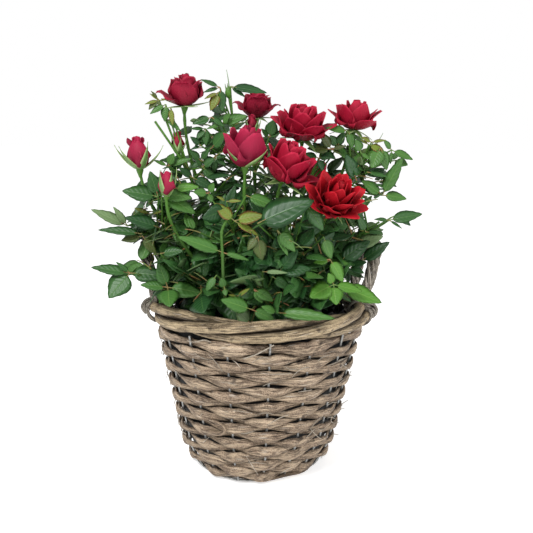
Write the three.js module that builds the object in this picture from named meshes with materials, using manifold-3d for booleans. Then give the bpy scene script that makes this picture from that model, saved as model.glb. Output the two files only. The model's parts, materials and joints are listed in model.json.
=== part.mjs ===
// A miniature rose bush in a lined willow basket: canes with red blooms and buds, leafy shoots between
// them, and a basket of split willow woven round sixteen wire stakes, with a rolled border and two handles.
// Millimetres, +Z up. The origin is the middle of the basket's flat underside, and the front looks to -Y.
import * as THREE from 'three';
import { mergeVertices } from 'three/addons/utils/BufferGeometryUtils.js';
import Module from 'manifold-3d';

const wasm = await Module();
wasm.setup();

// ---- Driving dimensions ----
const CLEAR = 0.3; // what neighbours that touch keep between them
const TURN = 2 * Math.PI;
const DEGREE = Math.PI / 180;

const STAKES = 16;
const STAKE_TURN = 6.1 * DEGREE; // where the first stake stands, round from +X
const STAKE_RADIUS = 0.9;
const FOOT_RADIUS = 54.8; // of the ring of stakes, if it ran straight down to the ground
const TOP_RADIUS = 80; // of the ring of stakes under the border
const WALL_TOP = 120;

const ROWS = 18;
const ROW_PITCH = 6.34;
const FIRST_ROW = 6.5; // height of the lowest row's middle
const STRIP_THICK = 2;
const CORNER_HEIGHT = FIRST_ROW + ROW_PITCH / 2; // the lowest row is drawn in toward the ground
const CORNER_DEPTH = 3.5;

const BORDER_HEIGHT = 129.9; // of the border's middle line
const BORDER_RADIUS = 80.5;
const BORDER_RODS = 3;
const BORDER_TWISTS = 2; // turns that the rods make about each other in one round
const ROD_RADIUS = 3.95;
const ROD_ORBIT = 4.75; // from the border's middle line to a rod's
const BORDER_REACH = ROD_ORBIT + ROD_RADIUS;

const HANDLE_FEET = [-13 * DEGREE, 20 * DEGREE]; // round from the handle's side of the basket
const HANDLE_RADIUS = 5.2;
const HANDLE_TOP = 181; // height of the rope's middle line at the crown of its arch
const HANDLE_FOOT_RADIUS = 85; // the feet stand on the outer half of the border
const HANDLE_LEAN = 9; // how far the crown of the arch stands outside its feet
const LASHING_THICK = 1.4; // half of the band's thickness
const LASHING_WIDE = 3.6; // half of its width
const LASHING_SIDES = 12; // of the band's loop round the border
const LASHING_ORBIT = (BORDER_REACH + CLEAR + LASHING_THICK) / Math.cos(Math.PI / LASHING_SIDES);

const LINER_THICK = 1;
const LINER_TOP = 133;
const SOIL_TOP = 112;
const SOIL_LEVEL_RADIUS = 52; // it is level out to here

const GOLDEN_TURN = 137.5 * DEGREE; // from each leaf to the next round a stem
const CANE_FOOT_RADIUS = 1.9;
const CANE_NECK_RADIUS = 1.2;
const SHOOT_RADIUS = 1.3;
const TWIG_RADIUS = 0.95;

// Canes that end in a flower: where each leaves the soil, the neck under its flower, the way that the
// flower faces, and the flower's width, height and openness (0 is a closed bud, 1 is full blown).
// A side bud stands on a twig of its own that leaves the cane at the share of its length given first.
const CANES = [
  { name: 'left_high', foot: [-17, 9], neck: [-61.5, 11, 287], face: [0.06, -0.1, 1],
    width: 29, height: 27, open: 0.35,
    sideBud: { from: 0.55, neck: [-66, 3, 251], width: 10.5, height: 17 } },
  { name: 'centre_back', foot: [-4, 19], neck: [-6, 45.5, 279], face: [0.02, -0.08, 1],
    width: 29, height: 24, open: 0.4,
    sideBud: { from: 0.6, neck: [-8.5, 17, 266], width: 10, height: 16 } },
  { name: 'centre_high', foot: [9, 6], neck: [31, 9.5, 264], face: [0.0, -0.3, 0.95],
    width: 40, height: 27, open: 0.75 },
  { name: 'right_high', foot: [26, 9], neck: [72, 16.5, 271.5], face: [0.1, -0.12, 1],
    width: 35, height: 25, open: 0.6 },
  { name: 'centre_front', foot: [-8, -12], neck: [-12, -37.5, 243.5], face: [0.06, -0.12, 1],
    width: 34, height: 31, open: 0.45 },
  { name: 'front', foot: [7, -19], neck: [15.5, -31, 234.5], face: [0.25, -0.3, 0.9],
    width: 39, height: 28, open: 0.7 },
  { name: 'right_front', foot: [22, -14], neck: [50.5, -41, 214.5], face: [0.28, -0.6, 0.75],
    width: 42, height: 24, open: 1 },
  { name: 'back_right', foot: [17, 24], neck: [36, 70, 222], face: [0.2, 0.5, 0.85],
    width: 36, height: 26, open: 0.7 },
  { name: 'left_bud', foot: [-27, -5], neck: [-94, -9, 238.5], face: [-0.06, -0.06, 1],
    width: 19, height: 25, open: 0 },
  { name: 'left_front_bud', foot: [-21, -20], neck: [-69.5, -39.5, 221], face: [0.05, 0, 1],
    width: 13.5, height: 18, open: 0 },
];

// Leafy shoots: each leaves a cane at a share of that cane's length, and runs to its own tip, where
// two of them carry a small green bud.
const SHOOTS = [
  { name: 'left_low', cane: 'left_bud', from: 0.2, tip: [-92, -37, 161], leaf: 39 },
  { name: 'left_middle', cane: 'left_bud', from: 0.45, tip: [-99, -8, 204], leaf: 38 },
  { name: 'left_upper', cane: 'left_high', from: 0.45, tip: [-58, 2, 238], leaf: 32 },
  { name: 'front_left_low', cane: 'left_front_bud', from: 0.25, tip: [-46, -46, 160], leaf: 41 },
  { name: 'front_low', cane: 'front', from: 0.15, tip: [0, -54, 152], leaf: 40 },
  { name: 'front_right_low', cane: 'right_front', from: 0.2, tip: [56, -44, 158], leaf: 41 },
  { name: 'right_middle', cane: 'right_high', from: 0.35, tip: [92, -8, 200], leaf: 40 },
  { name: 'right_upper', cane: 'right_high', from: 0.6, tip: [85, 10, 254], leaf: 34,
    bud: { width: 6, height: 10 } },
  { name: 'back_right_low', cane: 'back_right', from: 0.25, tip: [58, 42, 166], leaf: 42 },
  { name: 'back_low', cane: 'centre_back', from: 0.25, tip: [0, 56, 166], leaf: 42 },
  { name: 'back_left_low', cane: 'left_high', from: 0.2, tip: [-62, 38, 168], leaf: 42 },
  { name: 'centre_left_high', cane: 'centre_back', from: 0.5, tip: [-31, 15, 296], leaf: 30,
    bud: { width: 6, height: 11 } },
  { name: 'centre_upper', cane: 'centre_high', from: 0.5, tip: [42, 32, 238], leaf: 35 },
  { name: 'centre_middle', cane: 'centre_front', from: 0.35, tip: [-22, -44, 204], leaf: 39 },
  { name: 'right_front_middle', cane: 'right_front', from: 0.45, tip: [20, -46, 190], leaf: 38 },
];

// ---- Meshes and solids ----
const UP = new THREE.Vector3(0, 0, 1);
const vector = (list) => new THREE.Vector3(...list);

function solidOf(geometry) {
  const source = geometry.index ? geometry.toNonIndexed() : geometry;
  const bare = new THREE.BufferGeometry();
  bare.setAttribute('position', source.getAttribute('position').clone());
  const welded = mergeVertices(bare, 1e-3);
  return new wasm.Manifold(new wasm.Mesh({
    numProp: 3,
    vertProperties: welded.getAttribute('position').array,
    triVerts: new Uint32Array(welded.index.array),
  }));
}

// The geometry of a solid's largest piece: a scrap that a join left loose is dropped.
function geometryOf(solid) {
  const pieces = solid.decompose().sort((a, b) => b.volume() - a.volume());
  const { numProp, vertProperties, triVerts } = pieces[0].getMesh();
  const corners = new Float32Array((vertProperties.length / numProp) * 3);
  for (let i = 0; i < corners.length / 3; i++)
    corners.set(vertProperties.subarray(i * numProp, i * numProp + 3), i * 3);
  const geometry = new THREE.BufferGeometry();
  geometry.setAttribute('position', new THREE.BufferAttribute(corners, 3));
  geometry.setIndex(new THREE.BufferAttribute(new Uint32Array(triVerts), 1));
  return geometry;
}

// A closed ring: a torus whose corners are moved to place(angle round the ring, corner of the section).
function ringGeometry(stations, corners, place) {
  const ring = new THREE.TorusGeometry(1, 0.1, corners, stations);
  const position = ring.getAttribute('position');
  for (let corner = 0; corner <= corners; corner++)
    for (let station = 0; station <= stations; station++) {
      const point = place(((station % stations) / stations) * TURN, corner % corners);
      position.setXYZ(corner * (stations + 1) + station, point.x, point.y, point.z);
    }
  return ring;
}

// A limb: a cylinder whose rings are moved onto a line of points, each with its own radius.
function limbGeometry(points, radii, sides) {
  const steps = points.length - 1;
  const limb = new THREE.CylinderGeometry(1, 1, steps, sides, steps);
  const position = limb.getAttribute('position');
  const rings = [];
  let across = new THREE.Vector3(1, 0.3, 0.2);
  for (let i = 0; i <= steps; i++) {
    const along = points[Math.min(i + 1, steps)].clone().sub(points[Math.max(i - 1, 0)]).normalize();
    across = across.clone().addScaledVector(along, -across.dot(along)).normalize();
    rings.push({ across, beside: along.clone().cross(across) });
  }
  for (let i = 0; i < position.count; i++) {
    const ring = Math.round(position.getY(i) + steps / 2);
    const point = points[ring].clone()
      .addScaledVector(rings[ring].across, position.getZ(i) * radii[ring])
      .addScaledVector(rings[ring].beside, position.getX(i) * radii[ring]);
    position.setXYZ(i, point.x, point.y, point.z);
  }
  return limb;
}

const taper = (from, to, steps) =>
  Array.from({ length: steps + 1 }, (_, i) => from + ((to - from) * i) / steps);

// A blade of eight faces, as a leaflet or a sepal: an octahedron drawn out from its root to its tip.
function bladeSolid(root, along, normal, length, width) {
  const sunk = 1.2; // how far the root goes into what carries it
  const widest = 0.42;
  const fold = 0.12 * width; // both edges stand above the rib
  const droop = 0.1 * length;
  const thick = Math.max(0.9, length / 28);
  const side = along.clone().cross(normal).normalize();
  const middle = root.clone().addScaledVector(along, widest * length);
  const corners = {
    root: root.clone().addScaledVector(along, -sunk),
    tip: root.clone().addScaledVector(along, length).addScaledVector(normal, -droop),
    left: middle.clone().addScaledVector(side, -width / 2).addScaledVector(normal, fold),
    right: middle.clone().addScaledVector(side, width / 2).addScaledVector(normal, fold),
    top: middle.clone().addScaledVector(normal, thick / 2),
    bottom: middle.clone().addScaledVector(normal, -thick / 2),
  };
  const blade = new THREE.OctahedronGeometry(1);
  const position = blade.getAttribute('position');
  for (let i = 0; i < position.count; i++) {
    const [x, y, z] = [position.getX(i), position.getY(i), position.getZ(i)].map(Math.round);
    const name = x ? (x > 0 ? 'tip' : 'root') : y ? (y > 0 ? 'left' : 'right') : z > 0 ? 'top' : 'bottom';
    position.setXYZ(i, ...corners[name].toArray());
  }
  return solidOf(blade);
}

const plant = new THREE.Group();
const basket = new THREE.Group();
const finish = (color, roughness, metalness = 0) =>
  new THREE.MeshStandardMaterial({ color, roughness, metalness });

function addNode(group, name, geometry, material) {
  const mesh = new THREE.Mesh(geometry, material);
  mesh.name = name;
  group.add(mesh);
  return mesh;
}

// ---- Basket ----
const weatheredWillow = finish(0x96836b, 0.8);
const paleWillow = finish(0xab9871, 0.75);
const greyWillow = finish(0x7d6f5c, 0.85);
const zincWire = finish(0x9b9d9f, 0.4, 0.9);
const blackFilm = finish(0x1d1e1f, 0.4);
const peat = finish(0x2b2119, 0.95);

// Radius of the ring of stakes at a height: a straight batter, drawn in at the foot.
function stakeRing(height) {
  const drawnIn = Math.max(0, 1 - height / CORNER_HEIGHT);
  return FOOT_RADIUS + ((TOP_RADIUS - FOOT_RADIUS) * height) / WALL_TOP - CORNER_DEPTH * drawnIn;
}

const polar = (radius, angle, height) =>
  new THREE.Vector3(radius * Math.cos(angle), radius * Math.sin(angle), height);

// One round of split willow, outside every second stake and inside the others.
function weaveRow(row) {
  const height = FIRST_ROW + row * ROW_PITCH;
  const halfHigh = (ROW_PITCH - CLEAR) / 2;
  const swing = STAKE_RADIUS + CLEAR + STRIP_THICK / 2;
  return ringGeometry(STAKES, 4, (angle, corner) => {
    const section = (corner + 0.5) * (TURN / 4);
    const at = height + Math.sign(Math.sin(section)) * halfHigh;
    const side = Math.cos((angle * STAKES) / 2 + row * Math.PI) > 0 ? 1 : -1;
    const radius = stakeRing(at) + side * swing + (Math.sign(Math.cos(section)) * STRIP_THICK) / 2;
    return polar(radius, angle + STAKE_TURN, at);
  });
}

// The wire frame: upright stakes welded to a ring of the same wire at the foot of the wall.
function wireFrame() {
  const ringHeight = 2;
  const halfStep = TURN / STAKES / 2; // the ring's corners lie between the stakes
  const stakeTop = BORDER_HEIGHT - BORDER_REACH - CLEAR;
  const ring = ringGeometry(STAKES, 4, (angle, corner) => {
    const section = (corner + 0.5) * (TURN / 4);
    const radius = stakeRing(ringHeight) / Math.cos(halfStep) + STAKE_RADIUS * Math.cos(section);
    return polar(radius, angle + STAKE_TURN + halfStep, ringHeight + STAKE_RADIUS * Math.sin(section));
  });
  const stakes = Array.from({ length: STAKES }, (_, i) => {
    const angle = STAKE_TURN + (i * TURN) / STAKES;
    const heights = [ringHeight, CORNER_HEIGHT, stakeTop];
    const points = heights.map((height) => polar(stakeRing(height), angle, height));
    return solidOf(limbGeometry(points, points.map(() => STAKE_RADIUS), 3));
  });
  return geometryOf(wasm.Manifold.union([solidOf(ring), ...stakes]));
}

// The woven base: a flat round mat with a soft edge.
function baseMat() {
  const edge = stakeRing(FIRST_ROW - ROW_PITCH / 2) - STAKE_RADIUS - STRIP_THICK - 2 * CLEAR;
  const profile = [[0, 0], [edge - 2.5, 0], [edge - 0.5, 1.2], [edge, 2.5], [edge - 1, 4.6], [0, 4.6]];
  return lathe(profile, STAKES);
}

function lathe(profile, segments) {
  const points = profile.map(([radius, height]) => new THREE.Vector2(radius, height));
  return new THREE.LatheGeometry(points, segments).rotateX(Math.PI / 2);
}

// One rod of the rolled border, winding round the border's middle line with the others.
function borderRod(rod) {
  return ringGeometry(28, 5, (angle, corner) => {
    const orbit = angle * BORDER_TWISTS + (rod * TURN) / BORDER_RODS;
    const section = corner * (TURN / 5) + orbit;
    const radius = BORDER_RADIUS + ROD_ORBIT * Math.cos(orbit) + ROD_RADIUS * Math.cos(section);
    const height = BORDER_HEIGHT + ROD_ORBIT * Math.sin(orbit) + ROD_RADIUS * Math.sin(section);
    return polar(radius, angle, height);
  });
}

// A handle: a rope of willow that arches between its feet on the border, and a lashing round the
// border under each foot, which runs on up into the rope.
function handle(side) {
  const footHeight = BORDER_HEIGHT + BORDER_REACH + CLEAR;
  const [front, back] = HANDLE_FEET.map((angle) => side + angle * Math.cos(side));
  const middle = (front + back) / 2;
  const rise = HANDLE_TOP - footHeight;
  const arch = new THREE.CatmullRomCurve3([
    polar(HANDLE_FOOT_RADIUS, front, footHeight),
    polar(HANDLE_FOOT_RADIUS + 0.35 * HANDLE_LEAN, front, footHeight + 0.4 * rise),
    polar(HANDLE_FOOT_RADIUS + 0.85 * HANDLE_LEAN, front * 0.7 + middle * 0.3, footHeight + 0.84 * rise),
    polar(HANDLE_FOOT_RADIUS + HANDLE_LEAN, middle, HANDLE_TOP),
    polar(HANDLE_FOOT_RADIUS + 0.85 * HANDLE_LEAN, back * 0.7 + middle * 0.3, footHeight + 0.84 * rise),
    polar(HANDLE_FOOT_RADIUS + 0.35 * HANDLE_LEAN, back, footHeight + 0.4 * rise),
    polar(HANDLE_FOOT_RADIUS, back, footHeight),
  ]);
  const rope = limbGeometry(arch.getPoints(10), taper(HANDLE_RADIUS, HANDLE_RADIUS, 10), 5);
  const lashings = [front, back].map((angle) => ringGeometry(LASHING_SIDES, 4, (turn, corner) => {
    const section = corner * (TURN / 4);
    const reach = LASHING_ORBIT + LASHING_THICK * Math.cos(section);
    const radius = BORDER_RADIUS + reach * Math.cos(turn);
    const beside = LASHING_WIDE * Math.sin(section);
    return polar(radius, angle, BORDER_HEIGHT + reach * Math.sin(turn))
      .addScaledVector(new THREE.Vector3(Math.sin(angle), -Math.cos(angle), 0), beside);
  }));
  return geometryOf(wasm.Manifold.union([solidOf(rope), ...lashings.map(solidOf)]));
}

// Profile of the liner's outside from its floor to its top edge, which passes inside the border.
function linerOutside() {
  const inset = STAKE_RADIUS + CLEAR + STRIP_THICK + CLEAR;
  const neck = BORDER_RADIUS - LASHING_ORBIT - LASHING_THICK - CLEAR;
  const heights = [5, CORNER_HEIGHT, 106];
  const wall = heights.map((height) => [stakeRing(height) - inset, height]);
  return [...wall, [neck, 117], [neck, LINER_TOP]];
}

// The film bag that lines the basket: an open cup.
function liner() {
  const outside = linerOutside();
  const inside = outside.map(([radius, height], i) => [radius - LINER_THICK, height + (i ? 0 : LINER_THICK)]);
  const profile = [[0, outside[0][1]], ...outside, ...inside.reverse(), [0, outside[0][1] + LINER_THICK]];
  return lathe(profile, STAKES);
}

// The soil that fills the liner, firmed down round its edge.
function soil() {
  const inset = LINER_THICK + CLEAR;
  const floor = linerOutside()[0][1] + LINER_THICK + CLEAR;
  const wall = linerOutside().filter(([, height]) => height < SOIL_TOP)
    .map(([radius, height], i) => [radius - inset, i ? height : floor]);
  return lathe([[0, floor], ...wall, [SOIL_LEVEL_RADIUS, SOIL_TOP], [0, SOIL_TOP]], STAKES);
}

for (let row = 0; row < ROWS; row++)
  addNode(basket, `weave_row_${String(row + 1).padStart(2, '0')}`, weaveRow(row), weatheredWillow);
addNode(basket, 'wire_frame', wireFrame(), zincWire);
addNode(basket, 'base_mat', baseMat(), weatheredWillow);
for (let rod = 0; rod < BORDER_RODS; rod++)
  addNode(basket, `border_rod_${rod + 1}`, borderRod(rod), paleWillow);
addNode(basket, 'handle_right', handle(0), greyWillow);
addNode(basket, 'handle_left', handle(Math.PI), greyWillow);
addNode(basket, 'liner', liner(), blackFilm);
addNode(basket, 'soil', soil(), peat);

// ---- Canes and flowers ----
const caneGreen = finish(0x4f7a2b, 0.6);
const petalRed = finish(0xa3152f, 0.7);
const leafGreen = finish(0x2f6b38, 0.55);
const CANE_STEPS = 6;
const BUD_SEPAL_LIFT = 65 * DEGREE; // how steeply the sepals stand up against a bud
const BLOOM_SEPAL_LIFT = -18 * DEGREE; // and hang under a flower

// The middle line of a cane, from just above the soil to the neck of its flower.
function caneLine({ foot, neck, face }) {
  const from = new THREE.Vector3(foot[0], foot[1], SOIL_TOP + 1.5 * CLEAR);
  const to = vector(neck);
  const reach = from.distanceTo(to);
  return new THREE.CubicBezierCurve3(
    from,
    from.clone().addScaledVector(UP, 0.35 * reach),
    to.clone().addScaledVector(vector(face).normalize(), -0.35 * reach),
    to,
  );
}

// A matrix that stands a flower, made upright at the origin, on a point facing along a direction.
const stand = (point, face) => new THREE.Matrix4().compose(
  point, new THREE.Quaternion().setFromUnitVectors(UP, face.clone().normalize()), new THREE.Vector3(1, 1, 1));

// Five pointed sepals round a neck, from hanging under an open flower to held against a bud.
function sepals(point, face, length, lift) {
  const turned = new THREE.Quaternion().setFromUnitVectors(UP, face.clone().normalize());
  return Array.from({ length: 5 }, (_, i) => {
    const out = new THREE.Vector3(Math.cos((i * TURN) / 5), Math.sin((i * TURN) / 5), 0);
    const along = out.clone().multiplyScalar(Math.cos(lift)).addScaledVector(UP, Math.sin(lift));
    const normal = out.clone().multiplyScalar(-Math.sin(lift)).addScaledVector(UP, Math.cos(lift));
    along.applyQuaternion(turned);
    normal.applyQuaternion(turned);
    return bladeSolid(point, along, normal, length, length / 4);
  });
}

// A closed bud, drawn to a point, with its sepals laid against it.
function budSolids(point, face, { width, height }, lift) {
  const profile = [
    [0, -1.5], [0.3 * width, -1], [0.5 * width, 0.3 * height],
    [0.36 * width, 0.72 * height], [0.1 * width, height], [0, height],
  ];
  const body = lathe(profile, 6).applyMatrix4(stand(point, face));
  return [solidOf(body), ...sepals(point, face, 0.8 * height, lift)];
}

// The corolla of an opened flower: two whorls of five pointed petals round a high heart.
function bloomGeometry({ width, height, open }) {
  const half = width / 2;
  const heart = half * (0.62 - 0.12 * open);
  const rings = [ // radius, height, how far the petal tips stand out and up there, and the whorl's turn
    [0, 0.6], [half * 0.42, 1.6], [half * (0.7 + 0.1 * open), height * 0.34],
    [half * 0.86, height * (0.74 - 0.24 * open), half * 0.14, height * 0.1, 0],
    [heart + 1, height * (0.56 - 0.14 * open)],
    [heart, height * 0.86, half * 0.1, height * 0.07, 0.5],
    [heart * 0.5, height * 0.7], [heart * 0.34, height * 0.92], [0, height * 0.98],
  ];
  const bloom = lathe(rings.map(([radius, up]) => [radius, up]), 10);
  const position = bloom.getAttribute('position');
  for (let i = 0; i < position.count; i++) {
    const [, , outwards = 0, upwards = 0, turn = 0] = rings[i % rings.length];
    const angle = Math.atan2(position.getY(i), position.getX(i));
    const petal = Math.sin(5 * angle + turn * TURN);
    const radius = Math.hypot(position.getX(i), position.getY(i)) || 1;
    const stretch = 1 + (outwards * petal) / radius;
    position.setX(i, position.getX(i) * stretch);
    position.setY(i, position.getY(i) * stretch);
    position.setZ(i, position.getZ(i) + upwards * petal);
  }
  return bloom;
}

// A cane, with the swollen hip and sepals under its flower, or its closed bud, and any side bud.
function caneSolid(cane, grown = 0) {
  const line = caneLine(cane);
  const radii = taper(CANE_FOOT_RADIUS + grown, CANE_NECK_RADIUS + grown, CANE_STEPS);
  const parts = [solidOf(limbGeometry(line.getPoints(CANE_STEPS), radii, 4))];
  const neck = vector(cane.neck);
  const face = vector(cane.face).normalize();
  if (cane.open > 0) {
    const hip = new THREE.SphereGeometry(1, 5, 3).rotateX(Math.PI / 2).scale(3.2, 3.2, 3.4);
    parts.push(solidOf(hip.applyMatrix4(stand(neck.clone().addScaledVector(face, -3.6), face))));
    parts.push(...sepals(neck.clone().addScaledVector(face, -2.6), face, 15, BLOOM_SEPAL_LIFT));
  } else parts.push(...budSolids(neck, face, cane, BUD_SEPAL_LIFT));
  if (cane.sideBud) {
    const bud = cane.sideBud;
    const from = line.getPoint(bud.from);
    const to = vector(bud.neck);
    const knee = from.clone().lerp(to, 0.5).add(new THREE.Vector3(0, 0, -6));
    const twig = new THREE.QuadraticBezierCurve3(from, knee, to).getPoints(3);
    parts.push(solidOf(limbGeometry(twig, taper(TWIG_RADIUS + grown, TWIG_RADIUS + grown, 3), 4)));
    parts.push(...budSolids(to, UP, bud, BUD_SEPAL_LIFT));
  }
  return wasm.Manifold.union(parts);
}

const caneNamed = (name) => CANES.find((cane) => cane.name === name);
const bloomsOf = CANES.filter((cane) => cane.open > 0);
const placedBloom = (cane) => bloomGeometry(cane)
  .applyMatrix4(stand(vector(cane.neck), vector(cane.face)));

for (const cane of CANES) addNode(plant, `cane_${cane.name}`, geometryOf(caneSolid(cane)), caneGreen);
for (const cane of bloomsOf) addNode(plant, `bloom_${cane.name}`, placedBloom(cane), petalRed);

// ---- Leafy shoots ----
const SHOOT_STEPS = 3;
const STEM_LEAVES = 9;
const TWIGS = 4; // of each shoot
const TWIG_LEAVES = 2; // besides the one at its tip
const LEAF_SLIM = 0.6; // a leaf's width over its length

// The crown, which no leaf leaves: an oval round the bush, drawn in above its shoulder.
const CROWN = { middle: -4, wide: 132, deep: 99, shoulder: 215, top: 313, overBorder: 139.5, overSoil: 118 };
function inCrown({ x, y, z }) {
  const spread = Math.hypot((x - CROWN.middle) / CROWN.wide, y / CROWN.deep);
  const drawnIn = Math.max(0, (z - CROWN.shoulder) / (CROWN.top - CROWN.shoulder));
  const floor = Math.hypot(x, y) > BORDER_RADIUS - BORDER_REACH - 5 ? CROWN.overBorder : CROWN.overSoil;
  return spread < 1 - 0.5 * drawnIn ** 2 && z < CROWN.top && z > floor;
}

// Numbers from 0 to 1 that are the same in every run.
function seeded(seed) {
  let state = seed;
  return () => {
    state = (Math.imul(state, 1664525) + 1013904223) >>> 0;
    return state / 4294967296;
  };
}

// The middle line of a shoot: out from its cane, then curving up to its tip.
function shootLine({ cane, from, tip }) {
  const line = caneLine(caneNamed(cane));
  const start = line.getPoint(from);
  const end = vector(tip);
  const knee = start.clone().lerp(end, 0.5);
  knee.z -= 0.12 * start.distanceTo(end);
  const out = knee.clone().sub(start).normalize();
  const caneRadius = CANE_FOOT_RADIUS + (CANE_NECK_RADIUS - CANE_FOOT_RADIUS) * from;
  start.addScaledVector(out, caneRadius + 2 * CLEAR);
  return new THREE.QuadraticBezierCurve3(start, knee, end);
}

// A direction square to another, turned round it by an angle.
function sideways(along, angle) {
  const across = along.clone().cross(Math.abs(along.z) > 0.9 ? new THREE.Vector3(1, 0, 0) : UP).normalize();
  return across.applyAxisAngle(along, angle);
}

// One leaf: its blade, and a smaller one to take its place where the first doesn't fit.
function leafSizes(node, heading, size, random) {
  const along = new THREE.Vector3(heading.x, heading.y, heading.z * 0.6 + 0.08).normalize();
  const outward = new THREE.Vector3(node.x, node.y, 0).normalize();
  const lean = new THREE.Vector3(random() - 0.5, random() - 0.5, 0).multiplyScalar(1.4);
  const face = UP.clone().addScaledVector(outward, 0.7).add(lean);
  const normal = face.addScaledVector(along, -face.dot(along)).normalize();
  return [1, 0.7].map((share) => bladeSolid(node, along, normal, share * size, share * size * LEAF_SLIM));
}

// Every leaf of a shoot, by the rule that the whole bush grows by: leaves a golden turn apart along
// the stem, side twigs between them with leaves of their own, and a leaf at each tip.
function shootParts(shoot, index) {
  const random = seeded(index * 7919 + 17);
  const line = shootLine(shoot);
  const points = line.getPoints(SHOOT_STEPS);
  const leafAt = (curve, share, turn, spread) => {
    const along = curve.getTangent(share);
    const heading = sideways(along, turn).multiplyScalar(spread).add(along.multiplyScalar(1.2 - spread));
    const size = shoot.leaf * (1 + 0.3 * random()) * (1 - 0.3 * share);
    return leafSizes(curve.getPoint(share), heading.normalize(), size, random);
  };
  const leaves = [];
  for (let i = 0; i < STEM_LEAVES; i++)
    leaves.push(leafAt(line, 0.12 + (0.82 * i) / STEM_LEAVES, i * GOLDEN_TURN + random(), 1));
  if (!shoot.bud) leaves.push(leafAt(line, 1, 0, 0.1));
  const twigs = [];
  for (let k = 0; k < TWIGS; k++) {
    const share = 0.3 + (0.55 * k) / (TWIGS - 1);
    const out = sideways(line.getTangent(share), k * GOLDEN_TURN + 1 + random());
    out.addScaledVector(line.getTangent(share), 0.5);
    out.z = 0.6 * Math.abs(out.z) + 0.3;
    const start = line.getPoint(share);
    const end = start.clone().addScaledVector(out.normalize(), 20 + 12 * random());
    const twig = new THREE.LineCurve3(start, end);
    const own = [];
    for (let i = 0; i < TWIG_LEAVES; i++)
      own.push(leafAt(twig, 0.35 + (0.6 * i) / TWIG_LEAVES, i * GOLDEN_TURN + random(), 1));
    own.push(leafAt(twig, 1, 0, 0.1));
    twigs.push({ stem: solidOf(limbGeometry([start, end], [TWIG_RADIUS, 0.7], 3)), leaves: own });
  }
  return {
    stem: solidOf(limbGeometry(points, taper(SHOOT_RADIUS, 0.9, SHOOT_STEPS), 3)),
    room: solidOf(limbGeometry(points, taper(SHOOT_RADIUS + CLEAR, 0.9 + CLEAR, SHOOT_STEPS), 3)),
    bud: shoot.bud ? budSolids(points.at(-1), line.getTangent(1), shoot.bud, BUD_SEPAL_LIFT) : [],
    leaves,
    twigs,
  };
}

// A shoot keeps to the space that is nearer its own middle than any other shoot's.
const shootMiddles = SHOOTS.map((shoot) => shootLine(shoot).getPoint(0.75));
function isOwnSpace(solid, index) {
  const { numProp, vertProperties } = solid.getMesh();
  const corners = [];
  for (let v = 0; v < vertProperties.length; v += numProp)
    corners.push(new THREE.Vector3(...vertProperties.subarray(v, v + 3)));
  const own = shootMiddles[index];
  return corners.every(inCrown) && shootMiddles.every((other, i) => {
    if (i === index) return true;
    const away = other.clone().sub(own).normalize();
    const border = own.clone().lerp(other, 0.5).dot(away) - CLEAR;
    return corners.every((corner) => corner.dot(away) < border);
  });
}

// The space for the hand inside a handle, which no leaf enters.
const HAND_SPACE = { x: [74, 106], y: [-8, 17], z: [141, 173] };
function handSpaceSolid(sign) {
  const [x, y, z] = [HAND_SPACE.x, HAND_SPACE.y, HAND_SPACE.z];
  const box = new THREE.BoxGeometry(x[1] - x[0] + 2, y[1] - y[0] + 2, z[1] - z[0] + 2);
  return solidOf(box.translate((sign * (x[0] + x[1])) / 2, (y[0] + y[1]) / 2, (z[0] + z[1]) / 2));
}

const isNearPlant = ({ name }) => !name.startsWith('weave_row');

function growShoots() {
  const shoots = SHOOTS.map(shootParts);
  const fixed = wasm.Manifold.union([
    ...basket.children.filter(isNearPlant).map((mesh) => solidOf(mesh.geometry)),
    ...bloomsOf.map((cane) => solidOf(placedBloom(cane))),
    ...CANES.map((cane) => caneSolid(cane, CLEAR)),
    handSpaceSolid(1),
    handSpaceSolid(-1),
  ]);
  shoots.forEach((shoot, index) => {
    const others = shoots.filter((_, i) => i !== index).map(({ room }) => room);
    const limbs = wasm.Manifold.union([fixed, ...others]);
    const kept = [];
    const meets = (solid, other) => !solid.intersect(other).isEmpty();
    const fits = (solid) => isOwnSpace(solid, index) && !meets(solid, limbs);
    const isFree = (leaf) => fits(leaf) && !kept.some((other) => meets(leaf, other));
    const keepLeaf = (sizes) => kept.push(...sizes.filter(isFree).slice(0, 1));
    shoot.leaves.forEach(keepLeaf);
    const twigs = shoot.twigs.filter(({ stem }) => fits(stem));
    for (const twig of twigs) twig.leaves.forEach(keepLeaf);
    const parts = [shoot.stem, ...shoot.bud, ...twigs.map(({ stem }) => stem), ...kept];
    const mass = wasm.Manifold.union(parts).subtract(fixed);
    addNode(plant, `foliage_${SHOOTS[index].name}`, geometryOf(mass), leafGreen);
  });
}
growShoots();

const roseBush = new THREE.Group();
roseBush.add(basket, plant);
export default roseBush;
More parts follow.
